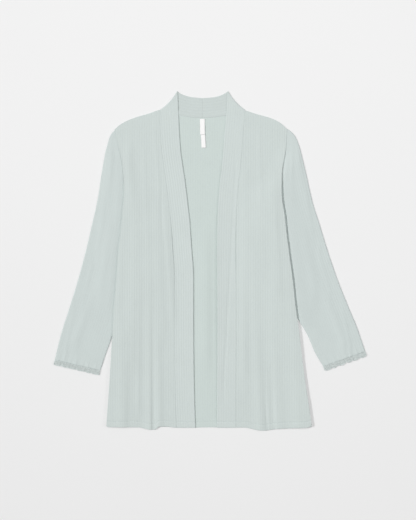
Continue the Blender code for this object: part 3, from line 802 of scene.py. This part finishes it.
def front_layer(side, up, row_step, step, edges, hem):
    """A front's upper (1) or lower (-1) surface, its places in the knit and how far down its rows are."""
    rows, down = body_rows(row_step, edges, hem)
    paths = [front_path(row, side) for row in rows]
    widest = max(run_lengths(path)[-1] for path in paths)
    count = len(spread(widest, step, edges, edges))
    points = []
    for path, below in zip(paths, down):
        length = run_lengths(path)[-1]
        even = (length - 2 * edges[-1]) / (count - 2 * len(edges) + 1)
        across = spread(length, even, edges, edges)
        xy = at_lengths(path, across)
        from_hem = down[-1] - below
        from_seam = np.minimum(across, below)
        to_seam = np.minimum(from_seam, length - across)
        z = front_middle(xy[:, 0], xy[:, 1], from_seam) + up * half_wall(from_hem, to_seam)
        if up > 0:
            z += rib(xy[:, 0], RIB_HEIGHT) * smooth_step(from_hem / RIB_FADE) + hem_form(from_hem)
        points.append(np.column_stack([xy, z]))
    grid = np.array(points)
    return grid, knit_places(grid), down


def front(name, side, material, thread):
    """One front, ribbed on its upper face."""
    edges = COARSE_EDGE_STEPS
    top, top_knit, down = front_layer(side, 1, ROW_STEP, FINE_STEP, EDGE_STEPS, HEM_STEPS)
    under, under_knit, _ = front_layer(side, -1, COARSE_ROW_STEP, COARSE_STEP, edges, edges)
    shell = Shell()
    shell.close(shell.add(top, top_knit), shell.add(under, under_knit))
    obj = shell.build(name + "_cloth", material)
    sewing = stitches(name + "_hem_stitches", hem_row(top, down[-1] - down), thread)
    declare(name)


def back_ridge(x, y):
    """Height of the back's soft ridge, which falls away towards the right band."""
    rising, falling = [smooth_step((x - start) / width) for start, width in (RIDGE_RISES, RIDGE_FALLS)]
    return along(BACK_RIDGE, y, "y", "height") * rising * (1.0 - falling)


def back_layer(up, row_step, columns, edges, hem):
    """The back's upper or lower surface, its places in the knit and how far down its rows are."""
    rows, down = body_rows(row_step, edges, hem)
    top_x = np.linspace(LEFT_SHOULDER[0].x, RIGHT_SHOULDER[0].x, SHOULDER_POINTS)
    line = np.interp(top_x, top_x[[0, -1]], top_line(top_x)[[0, -1]])
    rise = top_line(top_x) - line
    points = []
    for row, below in zip(rows, down):
        x = np.concatenate([row.left + edges, columns(row), (row.right - edges)[::-1]])
        y = row.side_y + row.shoulder * np.interp(x, top_x, rise) - BACK_HEM_SHARE * row.hem * hem_drop(x)
        from_hem = down[-1] - below
        to_seam = np.minimum(np.minimum(x - row.left, row.right - x), below)
        z = BACK_MIDDLE + body_lift(x, y, BACK_LIFT_END, LIFT_SLOPE) + back_ridge(x, y)
        z = z + up * half_wall(from_hem, to_seam)
        if up > 0:
            z += rib(x, INSIDE_RIB_HEIGHT) * smooth_step(from_hem / RIB_FADE) + hem_form(from_hem)
        points.append(np.column_stack([x, y, z]))
    grid = np.array(points)
    return grid, knit_places(grid), down


# The part of the back's inside that the open front shows
WINDOW_LEFT = -84.0
WINDOW_RIGHT = 50.0


def window_columns(row):
    """Columns of the back's inside, fine only where the open front shows it."""
    left = np.linspace(row.left + EDGE_STEPS[-1], WINDOW_LEFT, SIDE_COLUMNS)[1:-1]
    right = np.linspace(WINDOW_RIGHT, row.right - EDGE_STEPS[-1], SIDE_COLUMNS)[1:-1]
    return np.concatenate([left, np.arange(WINDOW_LEFT, WINDOW_RIGHT, FINE_STEP), right])


def even_columns(row):
    return np.linspace(row.left, row.right, COARSE_BACK_COLUMNS)[1:-1]


def back(name, material, thread):
    """The back, ribbed inside and stitched where the open front shows it."""
    edges = COARSE_EDGE_STEPS
    top, top_knit, down = back_layer(1, ROW_STEP, window_columns, EDGE_STEPS, HEM_STEPS)
    under, under_knit, _ = back_layer(-1, COARSE_ROW_STEP, even_columns, edges, edges)
    shell = Shell()
    shell.close(shell.add(top, top_knit), shell.add(under, under_knit))
    obj = shell.build(name + "_cloth", material)
    hem = hem_row(top, down[-1] - down)
    shown = hem[(hem[:, 0] > WINDOW_LEFT) & (hem[:, 0] < WINDOW_RIGHT)]
    sewing = stitches(name + "_hem_stitches", shown, thread)
    declare(name)


def band_lines(side):
    """A band's close sections, each with its two ends, its turn and its share of the fold's bow."""
    back_table = LEFT_BAND_BACK if side < 0 else RIGHT_BAND_BACK
    fold = LEFT_BAND_FOLD if side < 0 else RIGHT_BAND_FOLD
    ends = [(p.top_x, p.top_y, p.seam_x, float(top_line(p.seam_x)) + CLOSED_SEAM) for p in back_table]
    ends = np.array(ends + [fold])
    index = np.arange(len(ends))
    seam_run = run_lengths(ends[:, :2])
    across_neck = spread(seam_run[-1], BAND_NECK_STEP, EDGE_STEPS, np.array([0.0]))
    at = np.interp(across_neck, seam_run, index)
    columns = [smooth_curve(at, index, ends[:, axis]) for axis in range(4)]
    bow = np.clip(at - (index[-1] - 1), 0.0, 1.0)
    behind = np.column_stack([*columns, np.full(len(at), math.pi), bow])
    turns = np.linspace(math.pi, 0.0, FOLD_TURNS)
    over = np.column_stack([np.tile(fold, (FOLD_TURNS, 1)), turns, np.ones(FOLD_TURNS)])
    free_y = [fold.free_y] + [row.free_y for row in BAND_ROWS]
    seam_y = [fold.seam_y] + [row.seam_y for row in BAND_ROWS]
    index = np.arange(len(free_y))
    fine = np.linspace(0.0, index[-1], TABLE_POINTS)
    fall = free_y[0] - smooth_curve(fine, index, free_y)
    down = spread(fall[-1], BAND_ROW_STEP, np.array([0.0]), HEM_STEPS)
    at = np.interp(down, fall, fine)
    y_free = smooth_curve(at, index, free_y)
    y_seam = smooth_curve(at, index, seam_y)
    near = 1.0 - smooth_step(at)
    x_free = at_side(FREE_EDGES, y_free, side)
    x_free = x_free + near * (fold.free_x - x_free[0])
    x_seam = band_seam_x(y_seam, side)
    flat = np.zeros(len(at))
    in_front = np.column_stack([x_free, y_free, x_seam, y_seam, flat, np.clip(1.0 - at, 0.0, 1.0)])
    from_hem = np.concatenate([np.full(len(behind) + len(over), FAR_AWAY), down[-1] - down])
    from_start = np.concatenate([across_neck, np.full(len(over) + len(down), FAR_AWAY)])
    lines = np.concatenate([behind, over, in_front])
    keep = np.ones(len(lines), bool)
    keep[[len(behind) - 1, len(behind) + len(over)]] = False
    return lines[keep], from_hem[keep], from_start[keep]


def seam_allowance(from_seam):
    """Rise of the allowance behind the neck, and the depth of its stitched groove."""
    first, last = ALLOWANCE_SLOPES
    rise = ALLOWANCE_RISE * smooth_step(from_seam / first) * smooth_step((ALLOWANCE_DEPTH - from_seam) / last)
    groove = np.exp(-(((from_seam - ALLOWANCE_GROOVE) / ALLOWANCE_GROOVE_HALF_WIDTH) ** 2))
    return rise, GROOVE_DEPTH * groove


def band(name, side, material, thread):
    """One strip of the neck band, ribbed on both faces because the neck shows the inside of it."""
    fold = LEFT_BAND_FOLD if side < 0 else RIGHT_BAND_FOLD
    fold_line = unit(np.array([fold.seam_x - fold.free_x, fold.seam_y - fold.free_y]))
    outward = np.array([fold_line[1], -fold_line[0]]) * -side
    radius = (FRONT_MIDDLE - BACK_MIDDLE) / 2
    axis_z = (FRONT_MIDDLE + BACK_MIDDLE) / 2
    lines, from_hem, from_start = band_lines(side)
    grids = {1: [], -1: []}
    for line, below, after in zip(lines, from_hem, from_start):
        free_end, seam_end, (turn, bow) = line[:2], line[2:4], line[4:]
        width = math.hypot(*(seam_end - free_end))
        across = spread(width, (width - 2 * EDGE_STEPS[-1]) / BAND_COLUMNS, EDGE_STEPS, EDGE_STEPS)
        shares = across / width
        xy = free_end + np.outer(shares, seam_end - free_end)
        xy -= np.outer(4.0 * BAND_FOLD_BOW * shares * (1.0 - shares) * bow, outward)
        in_front = turn == 0.0
        from_seam = width - across
        half = half_wall(np.minimum(across, below), np.minimum(from_seam, after))
        ribs = rib(shares * BAND_RIBS * RIB_PITCH, 1.0) * smooth_step(min(below, after) / RIB_FADE)
        allowance, groove = seam_allowance(from_seam) if turn == math.pi else (0.0, 0.0)
        for outer in (1, -1):
            height = RIB_HEIGHT if outer > 0 and in_front else INSIDE_RIB_HEIGHT
            reach = radius + outer * (half + height * ribs - groove + allowance * (outer < 0))
            z = axis_z + reach * math.cos(turn)
            placed = xy + np.outer(reach * math.sin(turn), outward)
            if in_front:
                from_fold = np.hypot(placed[:, 0] - fold.free_x, placed[:, 1] - fold.free_y)
                folds = fold_height(FRONT_FOLDS + FINE_FRONT_FOLDS, placed[:, 0], placed[:, 1])
                z = z + folds * smooth_step(from_fold / BAND_EASE)
                z = z + at_side(EDGE_RISE, free_end[1], side) * (1.0 - shares) ** 2
                if outer > 0:
                    z = z + hem_form(below)
            grids[outer].append(np.column_stack([placed, z]))
    shell = Shell()
    run = run_lengths(lines[:, :2])
    ids = []
    for outer in (1, -1):
        grid = np.array(grids[outer])
        ribs_across = np.broadcast_to(np.linspace(0.0, BAND_RIBS, grid.shape[1]), grid.shape[:2])
        along = np.broadcast_to(run[:, None] / LOOP_PITCH, grid.shape[:2])
        inside = 1.0 if outer < 0 else 0.0
        ids.append(shell.add(grid, np.stack([ribs_across, along], axis=-1), inside))
    shell.close(*ids)
    obj = shell.build(name + "_cloth", material)
    top = np.array(grids[1])
    sewing = stitches(name + "_hem_stitches", hem_row(top, from_hem), thread)
    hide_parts(name)


def sleeve_paths(side, shares):
    """The sleeve's rows from armhole to wrist, each at these shares from its outer to its inner fold."""
    table = LEFT_SLEEVE if side < 0 else RIGHT_SLEEVE
    y = table[0].outer_y + shares * (table[0].inner_y - table[0].outer_y)
    paths = [np.column_stack([at_side(SIDES, y, side) + side * CLOSED_SEAM, y])]
    for row in table[1:]:
        outer_end = np.array([row.outer_x, row.outer_y])
        paths.append(outer_end + np.outer(shares, np.array([row.inner_x, row.inner_y]) - outer_end))
    return np.array(paths)


def sleeve_rows(side, step, first, last):
    """Close rows of a sleeve as fine paths, with how far each lies from the wrist and from the armhole."""
    shares = np.linspace(0.0, 1.0, PATH_POINTS)
    paths = sleeve_paths(side, shares)
    index = np.arange(len(paths))
    middle = run_lengths(paths[:, PATH_POINTS // 2])
    down = spread(middle[-1], step, first, last)
    at = np.interp(down, middle, index)
    rows = np.empty((len(at), len(shares), 2))
    for place in range(len(shares)):
        for axis in (0, 1):
            rows[:, place, axis] = smooth_curve(at, index, paths[:, place, axis])
    return rows, down[-1] - down, down


def sleeve_grain(side, x, y):
    """Distance across the sleeve's ribs."""
    return (np.abs(at_side(SLEEVE_GRAIN, y, side)) - np.abs(x)) * SLEEVE_SLANT


def gathers(share, from_wrist, length):
    """Height of the small gathers above the lace."""
    total = np.zeros(len(share))
    for gather in GATHERS:
        total += gather.height * np.exp(-(((share - gather.place) * length / gather.half_width) ** 2))
    return total * (1.0 - smooth_step(from_wrist / GATHER_LENGTH))


def sleeve_top(side, path, across, length, from_wrist):
    """Height of the middle of a sleeve's upper layer along one row."""
    xy = at_lengths(path, across)
    near_fold = np.minimum(across, length - across)
    from_body = np.abs(xy[:, 0]) - np.abs(at_side(SIDES, xy[:, 1], side)) - BODY_CLEARANCE
    free = smooth_step(near_fold / SLEEVE_EASE) * smooth_step(from_body / BODY_EASE)
    folds = fold_height(SLEEVE_FOLDS + FINE_SLEEVE_FOLDS, xy[:, 0], xy[:, 1])
    trench, wall = LEFT_TRENCH if side < 0 else RIGHT_TRENCH
    past_trench = from_body + BODY_CLEARANCE - trench
    swell = smooth_step(past_trench / wall) * (1.0 - smooth_step((past_trench - wall) / SWELL_WIDTH))
    swell = swell * at_side(SWELLS, xy[:, 1], side) * smooth_step(near_fold / SLEEVE_EASE)
    return xy, SLEEVE_MIDDLE + swell + (folds + gathers(across / length, from_wrist, length)) * free


def sleeve_loops(side, rows, from_wrist, from_armhole, fine, outside):
    """Loops round the outside or the inside of a flattened sleeve."""
    inset = 2 * WALL + SEAM_GAP
    axis_z = WALL + SEAM_GAP / 2
    radius = axis_z if outside else SEAM_GAP / 2
    reach = inset if outside else inset - WALL
    turns = np.linspace(0.0, math.pi, SLEEVE_TURNS if outside else COARSE_SLEEVE_TURNS)[1:-1]
    loops = []
    knits = []
    for path, below, after in zip(rows, from_wrist, from_armhole):
        length = run_lengths(path)[-1]
        over = np.linspace(inset, length - inset, fine)
        back_under = np.linspace(length - inset, inset, COARSE_SLEEVE_COLUMNS)
        xy, middle = sleeve_top(side, path, over, length, below)
        half = rounded(min(below, after), SEAM_RIM, SEAM_ROUND)
        top_z = middle + (half if outside else -half)
        if outside:
            ribs = rib(sleeve_grain(side, xy[:, 0], xy[:, 1]), SLEEVE_RIB_HEIGHT)
            top_z = top_z + ribs * smooth_step(below / RIB_FADE)
        low_xy = at_lengths(path, back_under)
        low_z = np.full(len(back_under), 0.0 if outside else WALL)
        folds = []
        for tip, inward, order in ((xy[-1], xy[-2], turns), (xy[0], xy[1], turns[::-1])):
            spots = tip + np.outer(reach * np.sin(order), unit(tip - inward))
            folds.append(np.column_stack([spots, axis_z + radius * np.cos(order)]))
        loop = np.concatenate(
            [np.column_stack([xy, top_z]), folds[0], np.column_stack([low_xy, low_z]), folds[1]]
        )
        loops.append(loop)
        grain = sleeve_grain(side, loop[:, 0], loop[:, 1])
        knits.append(np.column_stack([grain / RIB_PITCH, loop[:, 1] / LOOP_PITCH]))
    return np.array(loops), np.array(knits)


def sleeve(name, side, material, thread):
    """One sleeve, laid flat, with an outer and an inner skin that meet at both ends."""
    shell = Shell()
    rows, below, after = sleeve_rows(side, ROW_STEP, EDGE_STEPS, EDGE_STEPS)
    outer, outer_knit = sleeve_loops(side, rows, below, after, SLEEVE_COLUMNS, True)
    rows, below, after = sleeve_rows(side, COARSE_ROW_STEP, COARSE_EDGE_STEPS, COARSE_EDGE_STEPS)
    inner, inner_knit = sleeve_loops(side, rows, below, after, COARSE_SLEEVE_COLUMNS, False)
    outer_ids = shell.add(outer, outer_knit)
    inner_ids = shell.add(inner, inner_knit)
    shell.skin(outer_ids, closed=True)
    shell.skin(inner_ids, closed=True)
    for end in (0, -1):
        outside, inside = outer_ids[end], inner_ids[end]
        shell.zip_lines(np.append(outside, outside[0]), np.append(inside, inside[0]))
    obj = shell.build(name + "_cloth", material)
    shown = outer[:, :SLEEVE_COLUMNS]
    sewing = stitches(name + "_wrist_stitches", shown[WRIST_STITCH_ROW], thread)
    declare(name)


def lace_frame(side):
    """The wrist's outer end, the way down the sleeve, the way across it and its width."""
    last, wrist = (LEFT_SLEEVE if side < 0 else RIGHT_SLEEVE)[-2:]
    outer_end = np.array([wrist.outer_x, wrist.outer_y])
    inner_end = np.array([wrist.inner_x, wrist.inner_y])
    down = outer_end - np.array([last.outer_x, last.outer_y])
    width = float(np.linalg.norm(inner_end - outer_end))
    return outer_end, unit(down), (inner_end - outer_end) / width, width


# Lace at a wrist: eyelets across and down each layer, with how much of a cell each one opens
EYELETS_ACROSS = 48
EYELET_ROWS = 4
EYELET_SIDES = 8
EYELET_SHARE = 0.14
LACE_THICKNESS = 0.45
LACE_TOP = 1.5
CELL_STRETCH = 1.2
CORD_RADIUS = 0.4
CORD_POINTS = 241
CORD_DEPTHS = (0.03, 1.0)
# Unevenness of the scallops' places and depths, and the ruffle, as waves across the wrist
UNEVEN_PLACES = Ripple(0.018, 2.3, 0.15)
UNEVEN_DEPTHS = Ripple(0.2, 1.7, 0.3)
LACE_WAVE = 0.7
RUFFLES = rows_of(Ripple, (1.0, 9.3, 0.2), (0.6, 15.1, 0.4))

# Label tapes: their points down and across, thickness and curl
LABEL_ROWS = 25
LABEL_COLUMNS = 9
LABEL_THICKNESS = 0.5
LABEL_CURL = 0.35
LABEL_END_LIFT = 0.3


def ripple(wave, across):
    """Height of a wave at these shares across the wrist."""
    return wave.height * np.sin(2 * math.pi * (across * wave.turns + wave.start))


def lace_spot(side, across, depth, low):
    """A place on the lace: share across the wrist, share down to the scallops, and lower or upper layer."""
    outer_end, down, sideways, width = lace_frame(side)
    uneven = across + ripple(UNEVEN_PLACES, across) * np.sin(math.pi * across)
    deepest = LEFT_SCALLOP if side < 0 else RIGHT_SCALLOP
    scallop = deepest * (1.0 - np.abs(np.sin(math.pi * SCALLOPS * uneven)))
    scallop = scallop * (1.0 - UNEVEN_DEPTHS.height + ripple(UNEVEN_DEPTHS, across))
    reach = SEAM_GAP + depth * (LACE_DEPTH - scallop)
    xy = outer_end + np.multiply.outer(across * width, sideways) + np.multiply.outer(reach, down)
    wave = sum(ripple(one, across) for one in RUFFLES)
    ruffle = LACE_WAVE * (1.0 + wave) * depth * (0 if low else 1)
    middle = LACE_THICKNESS / 2 if low else LACE_TOP + SEAM_GAP
    return np.column_stack([xy.reshape(-1, 2), (middle + ruffle).ravel()])


def lace_layer(shell, side, low):
    """One layer of the lace's net: square cells, each with a round eyelet."""
    angles = 2 * math.pi * (np.arange(EYELET_SIDES) + 0.5) / EYELET_SIDES
    circle = np.array([np.cos(angles), np.sin(angles)]).T
    square = np.clip(circle / math.cos(math.pi / EYELET_SIDES) * 0.5 * CELL_STRETCH, -0.5, 0.5)
    hole = circle * EYELET_SHARE
    half = np.array([0.0, 0.0, LACE_THICKNESS / 2])
    for i in range(EYELETS_ACROSS):
        for j in range(EYELET_ROWS):
            rims = []
            for shape in (square, hole):
                across = (i + 0.5 + shape[:, 0]) / EYELETS_ACROSS
                depth = (j + 0.5 + shape[:, 1]) / EYELET_ROWS
                rims.append(lace_spot(side, across, depth, low))
            outer, inner = rims
            grid = np.array([outer + half, inner + half, inner - half, outer - half])
            ids = shell.add(grid, grid[..., :2])
            shell.skin(np.concatenate([ids, ids[:1]]), closed=True)


def tube_along(shell, path, radius):
    """A thin cord along a path in millimetres."""
    tangent = np.gradient(path, axis=0)
    tangent /= np.linalg.norm(tangent, axis=1)[:, None]
    sideways = np.cross(tangent, [0.0, 0.0, 1.0])
    sideways /= np.linalg.norm(sideways, axis=1)[:, None]
    up = np.cross(sideways, tangent)
    angles = 2 * math.pi * np.arange(ROUND_SIDES) / ROUND_SIDES
    rings = path[:, None] + radius * (
        np.cos(angles)[None, :, None] * sideways[:, None] + np.sin(angles)[None, :, None] * up[:, None]
    )
    shell.tube(rings)


def lace(name, side, material):
    """The lace round a wrist: a net in two layers with a cord along its scallops and another at its top."""
    shell = Shell()
    for low in (False, True):
        lace_layer(shell, side, low)
        share = np.linspace(0.0, 1.0, CORD_POINTS)
        for depth in CORD_DEPTHS:
            tube_along(shell, lace_spot(side, share, np.full(len(share), depth), low), CORD_RADIUS)
    lowest = min(point[2] for point in shell.points)
    for point in shell.points:
        point[2] -= min(lowest, 0.0)
    obj = shell.build(name + "_cloth", material)
    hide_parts(name)


def label(name, corners, material):
    """A blank woven tape with a slight curl."""
    shell = Shell()
    low = WALL + LAYER_GAP
    top_left, top_right, end_right, end_left = [np.array(point) for point in corners]
    down = np.linspace(0.0, 1.0, LABEL_ROWS)
    across = np.linspace(0.0, 1.0, LABEL_COLUMNS)
    left = top_left + np.outer(down, end_left - top_left)
    right = top_right + np.outer(down, end_right - top_right)
    xy = left[:, None] + across[None, :, None] * (right - left)[:, None]
    curl = LABEL_CURL * np.sin(math.pi * down)[:, None] * np.ones(len(across))
    curl = curl + LABEL_END_LIFT * (down**3)[:, None]
    ids = []
    for thickness in (LABEL_THICKNESS, 0.0):
        grid = np.dstack([xy, low + curl + thickness])
        ids.append(shell.add(grid, grid[..., :2]))
    shell.close(*ids)
    obj = shell.build(name + "_cloth", material)
    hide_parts(name)


def stitches(name, path, material):
    """A row of short thread stitches along a path."""
    shell = Shell()
    total = run_lengths(path)[-1]
    for start in np.arange(STITCH_PITCH / 2, total - STITCH_PITCH, STITCH_PITCH):
        spots = at_lengths(path, start + np.linspace(0.0, STITCH_LENGTH, len(STITCH_SWELL)))
        forward = unit(spots[-1] - spots[0])
        sideways = np.cross(forward, [0.0, 0.0, 1.0])
        up = np.cross(sideways, forward)
        angles = 2 * math.pi * np.arange(ROUND_SIDES) / ROUND_SIDES
        ring = np.outer(np.cos(angles), sideways) + np.outer(np.sin(angles), up)
        rings = spots[:, None] + STITCH_RADIUS * STITCH_SWELL[:, None, None] * ring[None]
        shell.tube(rings)
    return shell.build(name, material)


def new_material(name):
    material = bpy.data.materials.new(name)
    material.use_nodes = True
    return material, material.node_tree, material.node_tree.nodes["Principled BSDF"]


def math_node(tree, operation, first, second=None):
    node = tree.nodes.new("ShaderNodeMath")
    node.operation = operation
    for socket, value in zip(node.inputs, (first, second)):
        if value is None:
            continue
        if isinstance(value, (int, float)):
            socket.default_value = value
        else:
            tree.links.new(value, socket)
    return node.outputs[0]


def set_inputs(node, values):
    """Values that are the same all over the surface."""
    for name, value in values.items():
        node.inputs[name].default_value = value


def noise(tree, scale, detail):
    place = tree.nodes.new("ShaderNodeTexCoord")
    node = tree.nodes.new("ShaderNodeTexNoise")
    set_inputs(node, {"Scale": scale, "Detail": detail})
    tree.links.new(place.outputs["Object"], node.inputs["Vector"])
    return node.outputs["Fac"]


def paint(tree, shader, factor, dark, pale):
    """Base colour that runs from one colour to another."""
    node = tree.nodes.new("ShaderNodeMix")
    node.data_type = "RGBA"
    set_inputs(node, {"A": (*dark, 1.0), "B": (*pale, 1.0)})
    tree.links.new(factor, node.inputs["Factor"])
    tree.links.new(node.outputs["Result"], shader.inputs["Base Color"])


def emboss(tree, shader, height, strength, distance):
    """Relief that is too fine for the mesh."""
    node = tree.nodes.new("ShaderNodeBump")
    set_inputs(node, {"Strength": strength, "Distance": distance})
    tree.links.new(height, node.inputs["Height"])
    tree.links.new(node.outputs["Normal"], shader.inputs["Normal"])


def knit_material(name, colour, painted_trough_shade):
    """Rib knit: painted shade in the troughs, darker inside, slightly mottled, with loops along each wale as
    relief.
    """
    material, tree, shader = new_material(name)
    place = tree.nodes.new("ShaderNodeAttribute")
    place.attribute_name = "knit"
    split = tree.nodes.new("ShaderNodeSeparateXYZ")
    tree.links.new(place.outputs["Vector"], split.inputs[0])
    across, along = split.outputs[0], split.outputs[1]
    crest = math_node(tree, "ABSOLUTE", math_node(tree, "SINE", math_node(tree, "MULTIPLY", across, math.pi)))
    wale = math_node(tree, "PINGPONG", math_node(tree, "MULTIPLY", across, WALES), 0.5)
    phase = math_node(tree, "MULTIPLY", math_node(tree, "ADD", along, wale), 2 * math.pi)
    loops = math_node(tree, "MULTIPLY", math_node(tree, "SINE", phase), 0.5)
    mottle, fuzz, heather = [noise(tree, kind.scale, kind.detail) for kind in (MOTTLE, FUZZ, HEATHER)]
    # Painted shade: the base colour is darker in the troughs between the ribs than on their crests
    light = math_node(tree, "MULTIPLY", crest, painted_trough_shade)
    for spots, kind in ((heather, HEATHER), (mottle, MOTTLE), (fuzz, FUZZ)):
        light = math_node(tree, "ADD", light, math_node(tree, "MULTIPLY", spots, kind.share))
    full = 1.0 - painted_trough_shade - (MOTTLE.share + HEATHER.share + FUZZ.share) / 2
    light = math_node(tree, "ADD", light, full)
    light = math_node(tree, "SUBTRACT", light, math_node(tree, "MULTIPLY", split.outputs[2], INSIDE_SHADE))
    paint(tree, shader, light, (0.0, 0.0, 0.0), colour)
    relief = math_node(tree, "ADD", loops, math_node(tree, "MULTIPLY", fuzz, FUZZ_RELIEF))
    emboss(tree, shader, relief, *KNIT_RELIEF)
    set_inputs(shader, {"Roughness": 0.88, "Specular IOR Level": 0.2})
    set_inputs(shader, {"Sheen Weight": 0.15, "Sheen Roughness": 0.6})
    return material


def thread_material(name, colour, scale):
    """Thread or woven tape: a fine even relief and a little mottling."""
    material, tree, shader = new_material(name)
    grain = noise(tree, scale, GRAIN_DETAIL)
    paint(tree, shader, grain, [THREAD_SHADE * part for part in colour], colour)
    emboss(tree, shader, grain, *THREAD_RELIEF)
    set_inputs(shader, {"Roughness": 0.75, "Specular IOR Level": 0.25})
    return material


def floor():
    """A plain pale floor that gives off part of its own light."""
    bpy.ops.mesh.primitive_plane_add(size=FLOOR_SIZE, location=(0.0, 0.0, FLOOR_Z))
    plane = bpy.context.object
    plane.name = "floor"
    material, tree, shader = new_material("floor_paper")
    grain = noise(tree, FLOOR_GRAIN, GRAIN_DETAIL)
    dark, pale = [(tone, tone, tone) for tone in FLOOR_TONES]
    paint(tree, shader, grain, dark, pale)
    place = tree.nodes.new("ShaderNodeTexCoord")
    split = tree.nodes.new("ShaderNodeSeparateXYZ")
    tree.links.new(place.outputs["Object"], split.inputs[0])
    glow = math_node(tree, "ADD", math_node(tree, "MULTIPLY", split.outputs[1], FLOOR_SLOPE), FLOOR_GLOW)
    tree.links.new(glow, shader.inputs["Emission Strength"])
    white = (1.0, 1.0, 1.0, 1.0)
    set_inputs(shader, {"Emission Color": white, "Roughness": 0.95, "Specular IOR Level": 0.0})
    plane.data.materials.append(material)


def place_light(name, kind, place, strength):
    """A light that looks at the middle of the garment."""
    light = bpy.data.lights.new(name, kind)
    light.energy = strength
    obj = bpy.data.objects.new(name, light)
    obj.location = place
    obj.rotation_euler = (-Vector(place)).to_track_quat("-Z", "Y").to_euler()
    bpy.context.scene.collection.objects.link(obj)
    return light


def light_and_camera():
    """Light from the left, weaker light from the right, a wide one above, and a camera overhead."""
    world = bpy.data.worlds.new("studio")
    world.use_nodes = True
    sky = world.node_tree.nodes["Background"]
    set_inputs(sky, {"Color": (1.0, 1.0, 1.0, 1.0), "Strength": WORLD_LIGHT})
    scene = bpy.context.scene
    scene.world = world
    scene.view_settings.view_transform = "Standard"
    left = place_light("left", "SUN", LEFT_PLACE, LEFT_LIGHT)
    left.angle = math.radians(LEFT_ANGLE)
    right = place_light("right", "SUN", RIGHT_PLACE, RIGHT_LIGHT)
    right.angle = math.radians(RIGHT_ANGLE)
    overhead = place_light("overhead", "AREA", OVERHEAD_PLACE, OVERHEAD_LIGHT)
    overhead.shape = "DISK"
    overhead.size = OVERHEAD_SIZE
    camera = bpy.data.cameras.new("camera")
    camera.lens = LENS
    camera.sensor_width = SENSOR
    obj = bpy.data.objects.new("camera", camera)
    centre = (np.array(IMAGE_CENTRE) + SHIFT) * MM
    height = IMAGE_SIZE[1] * MM_PER_PIXEL * MM * LENS / SENSOR
    obj.location = (centre[0], centre[1], height)
    scene.collection.objects.link(obj)
    scene.camera = obj


def main():
    light_and_camera()
    floor()
    thread = thread_material("thread", THREAD_COLOUR, THREAD_GRAIN)
    body = knit_material("body_knit_cloth", BODY_COLOUR, PAINTED_RIB_SHADE)
    inside = knit_material("inside_knit_cloth", BACK_COLOUR, PAINTED_RIB_SHADE)
    band_cloth = knit_material("band_knit_cloth", BAND_COLOUR_AND_PAINTED_LIGHT, PAINTED_RIB_SHADE)
    sleeve_cloth = knit_material("sleeve_knit_cloth", SLEEVE_COLOUR, SLEEVE_PAINTED_RIB_SHADE)
    lace_cloth = thread_material("lace_cloth", LACE_COLOUR, LACE_GRAIN)
    tape = thread_material("label_tape_cloth", TAPE_COLOUR, TAPE_GRAIN)
    back("back_panel", inside, thread)
    for side, hand in ((-1, "left"), (1, "right")):
        front("front_" + hand, side, body, thread)
        band("band_" + hand, side, band_cloth, thread)
        sleeve("sleeve_" + hand, side, sleeve_cloth, thread)
        lace("cuff_lace_" + hand, side, lace_cloth)
    for name, corners in (("label_upper", UPPER_LABEL), ("label_lower", LOWER_LABEL)):
        label(name, corners, tape)


main()
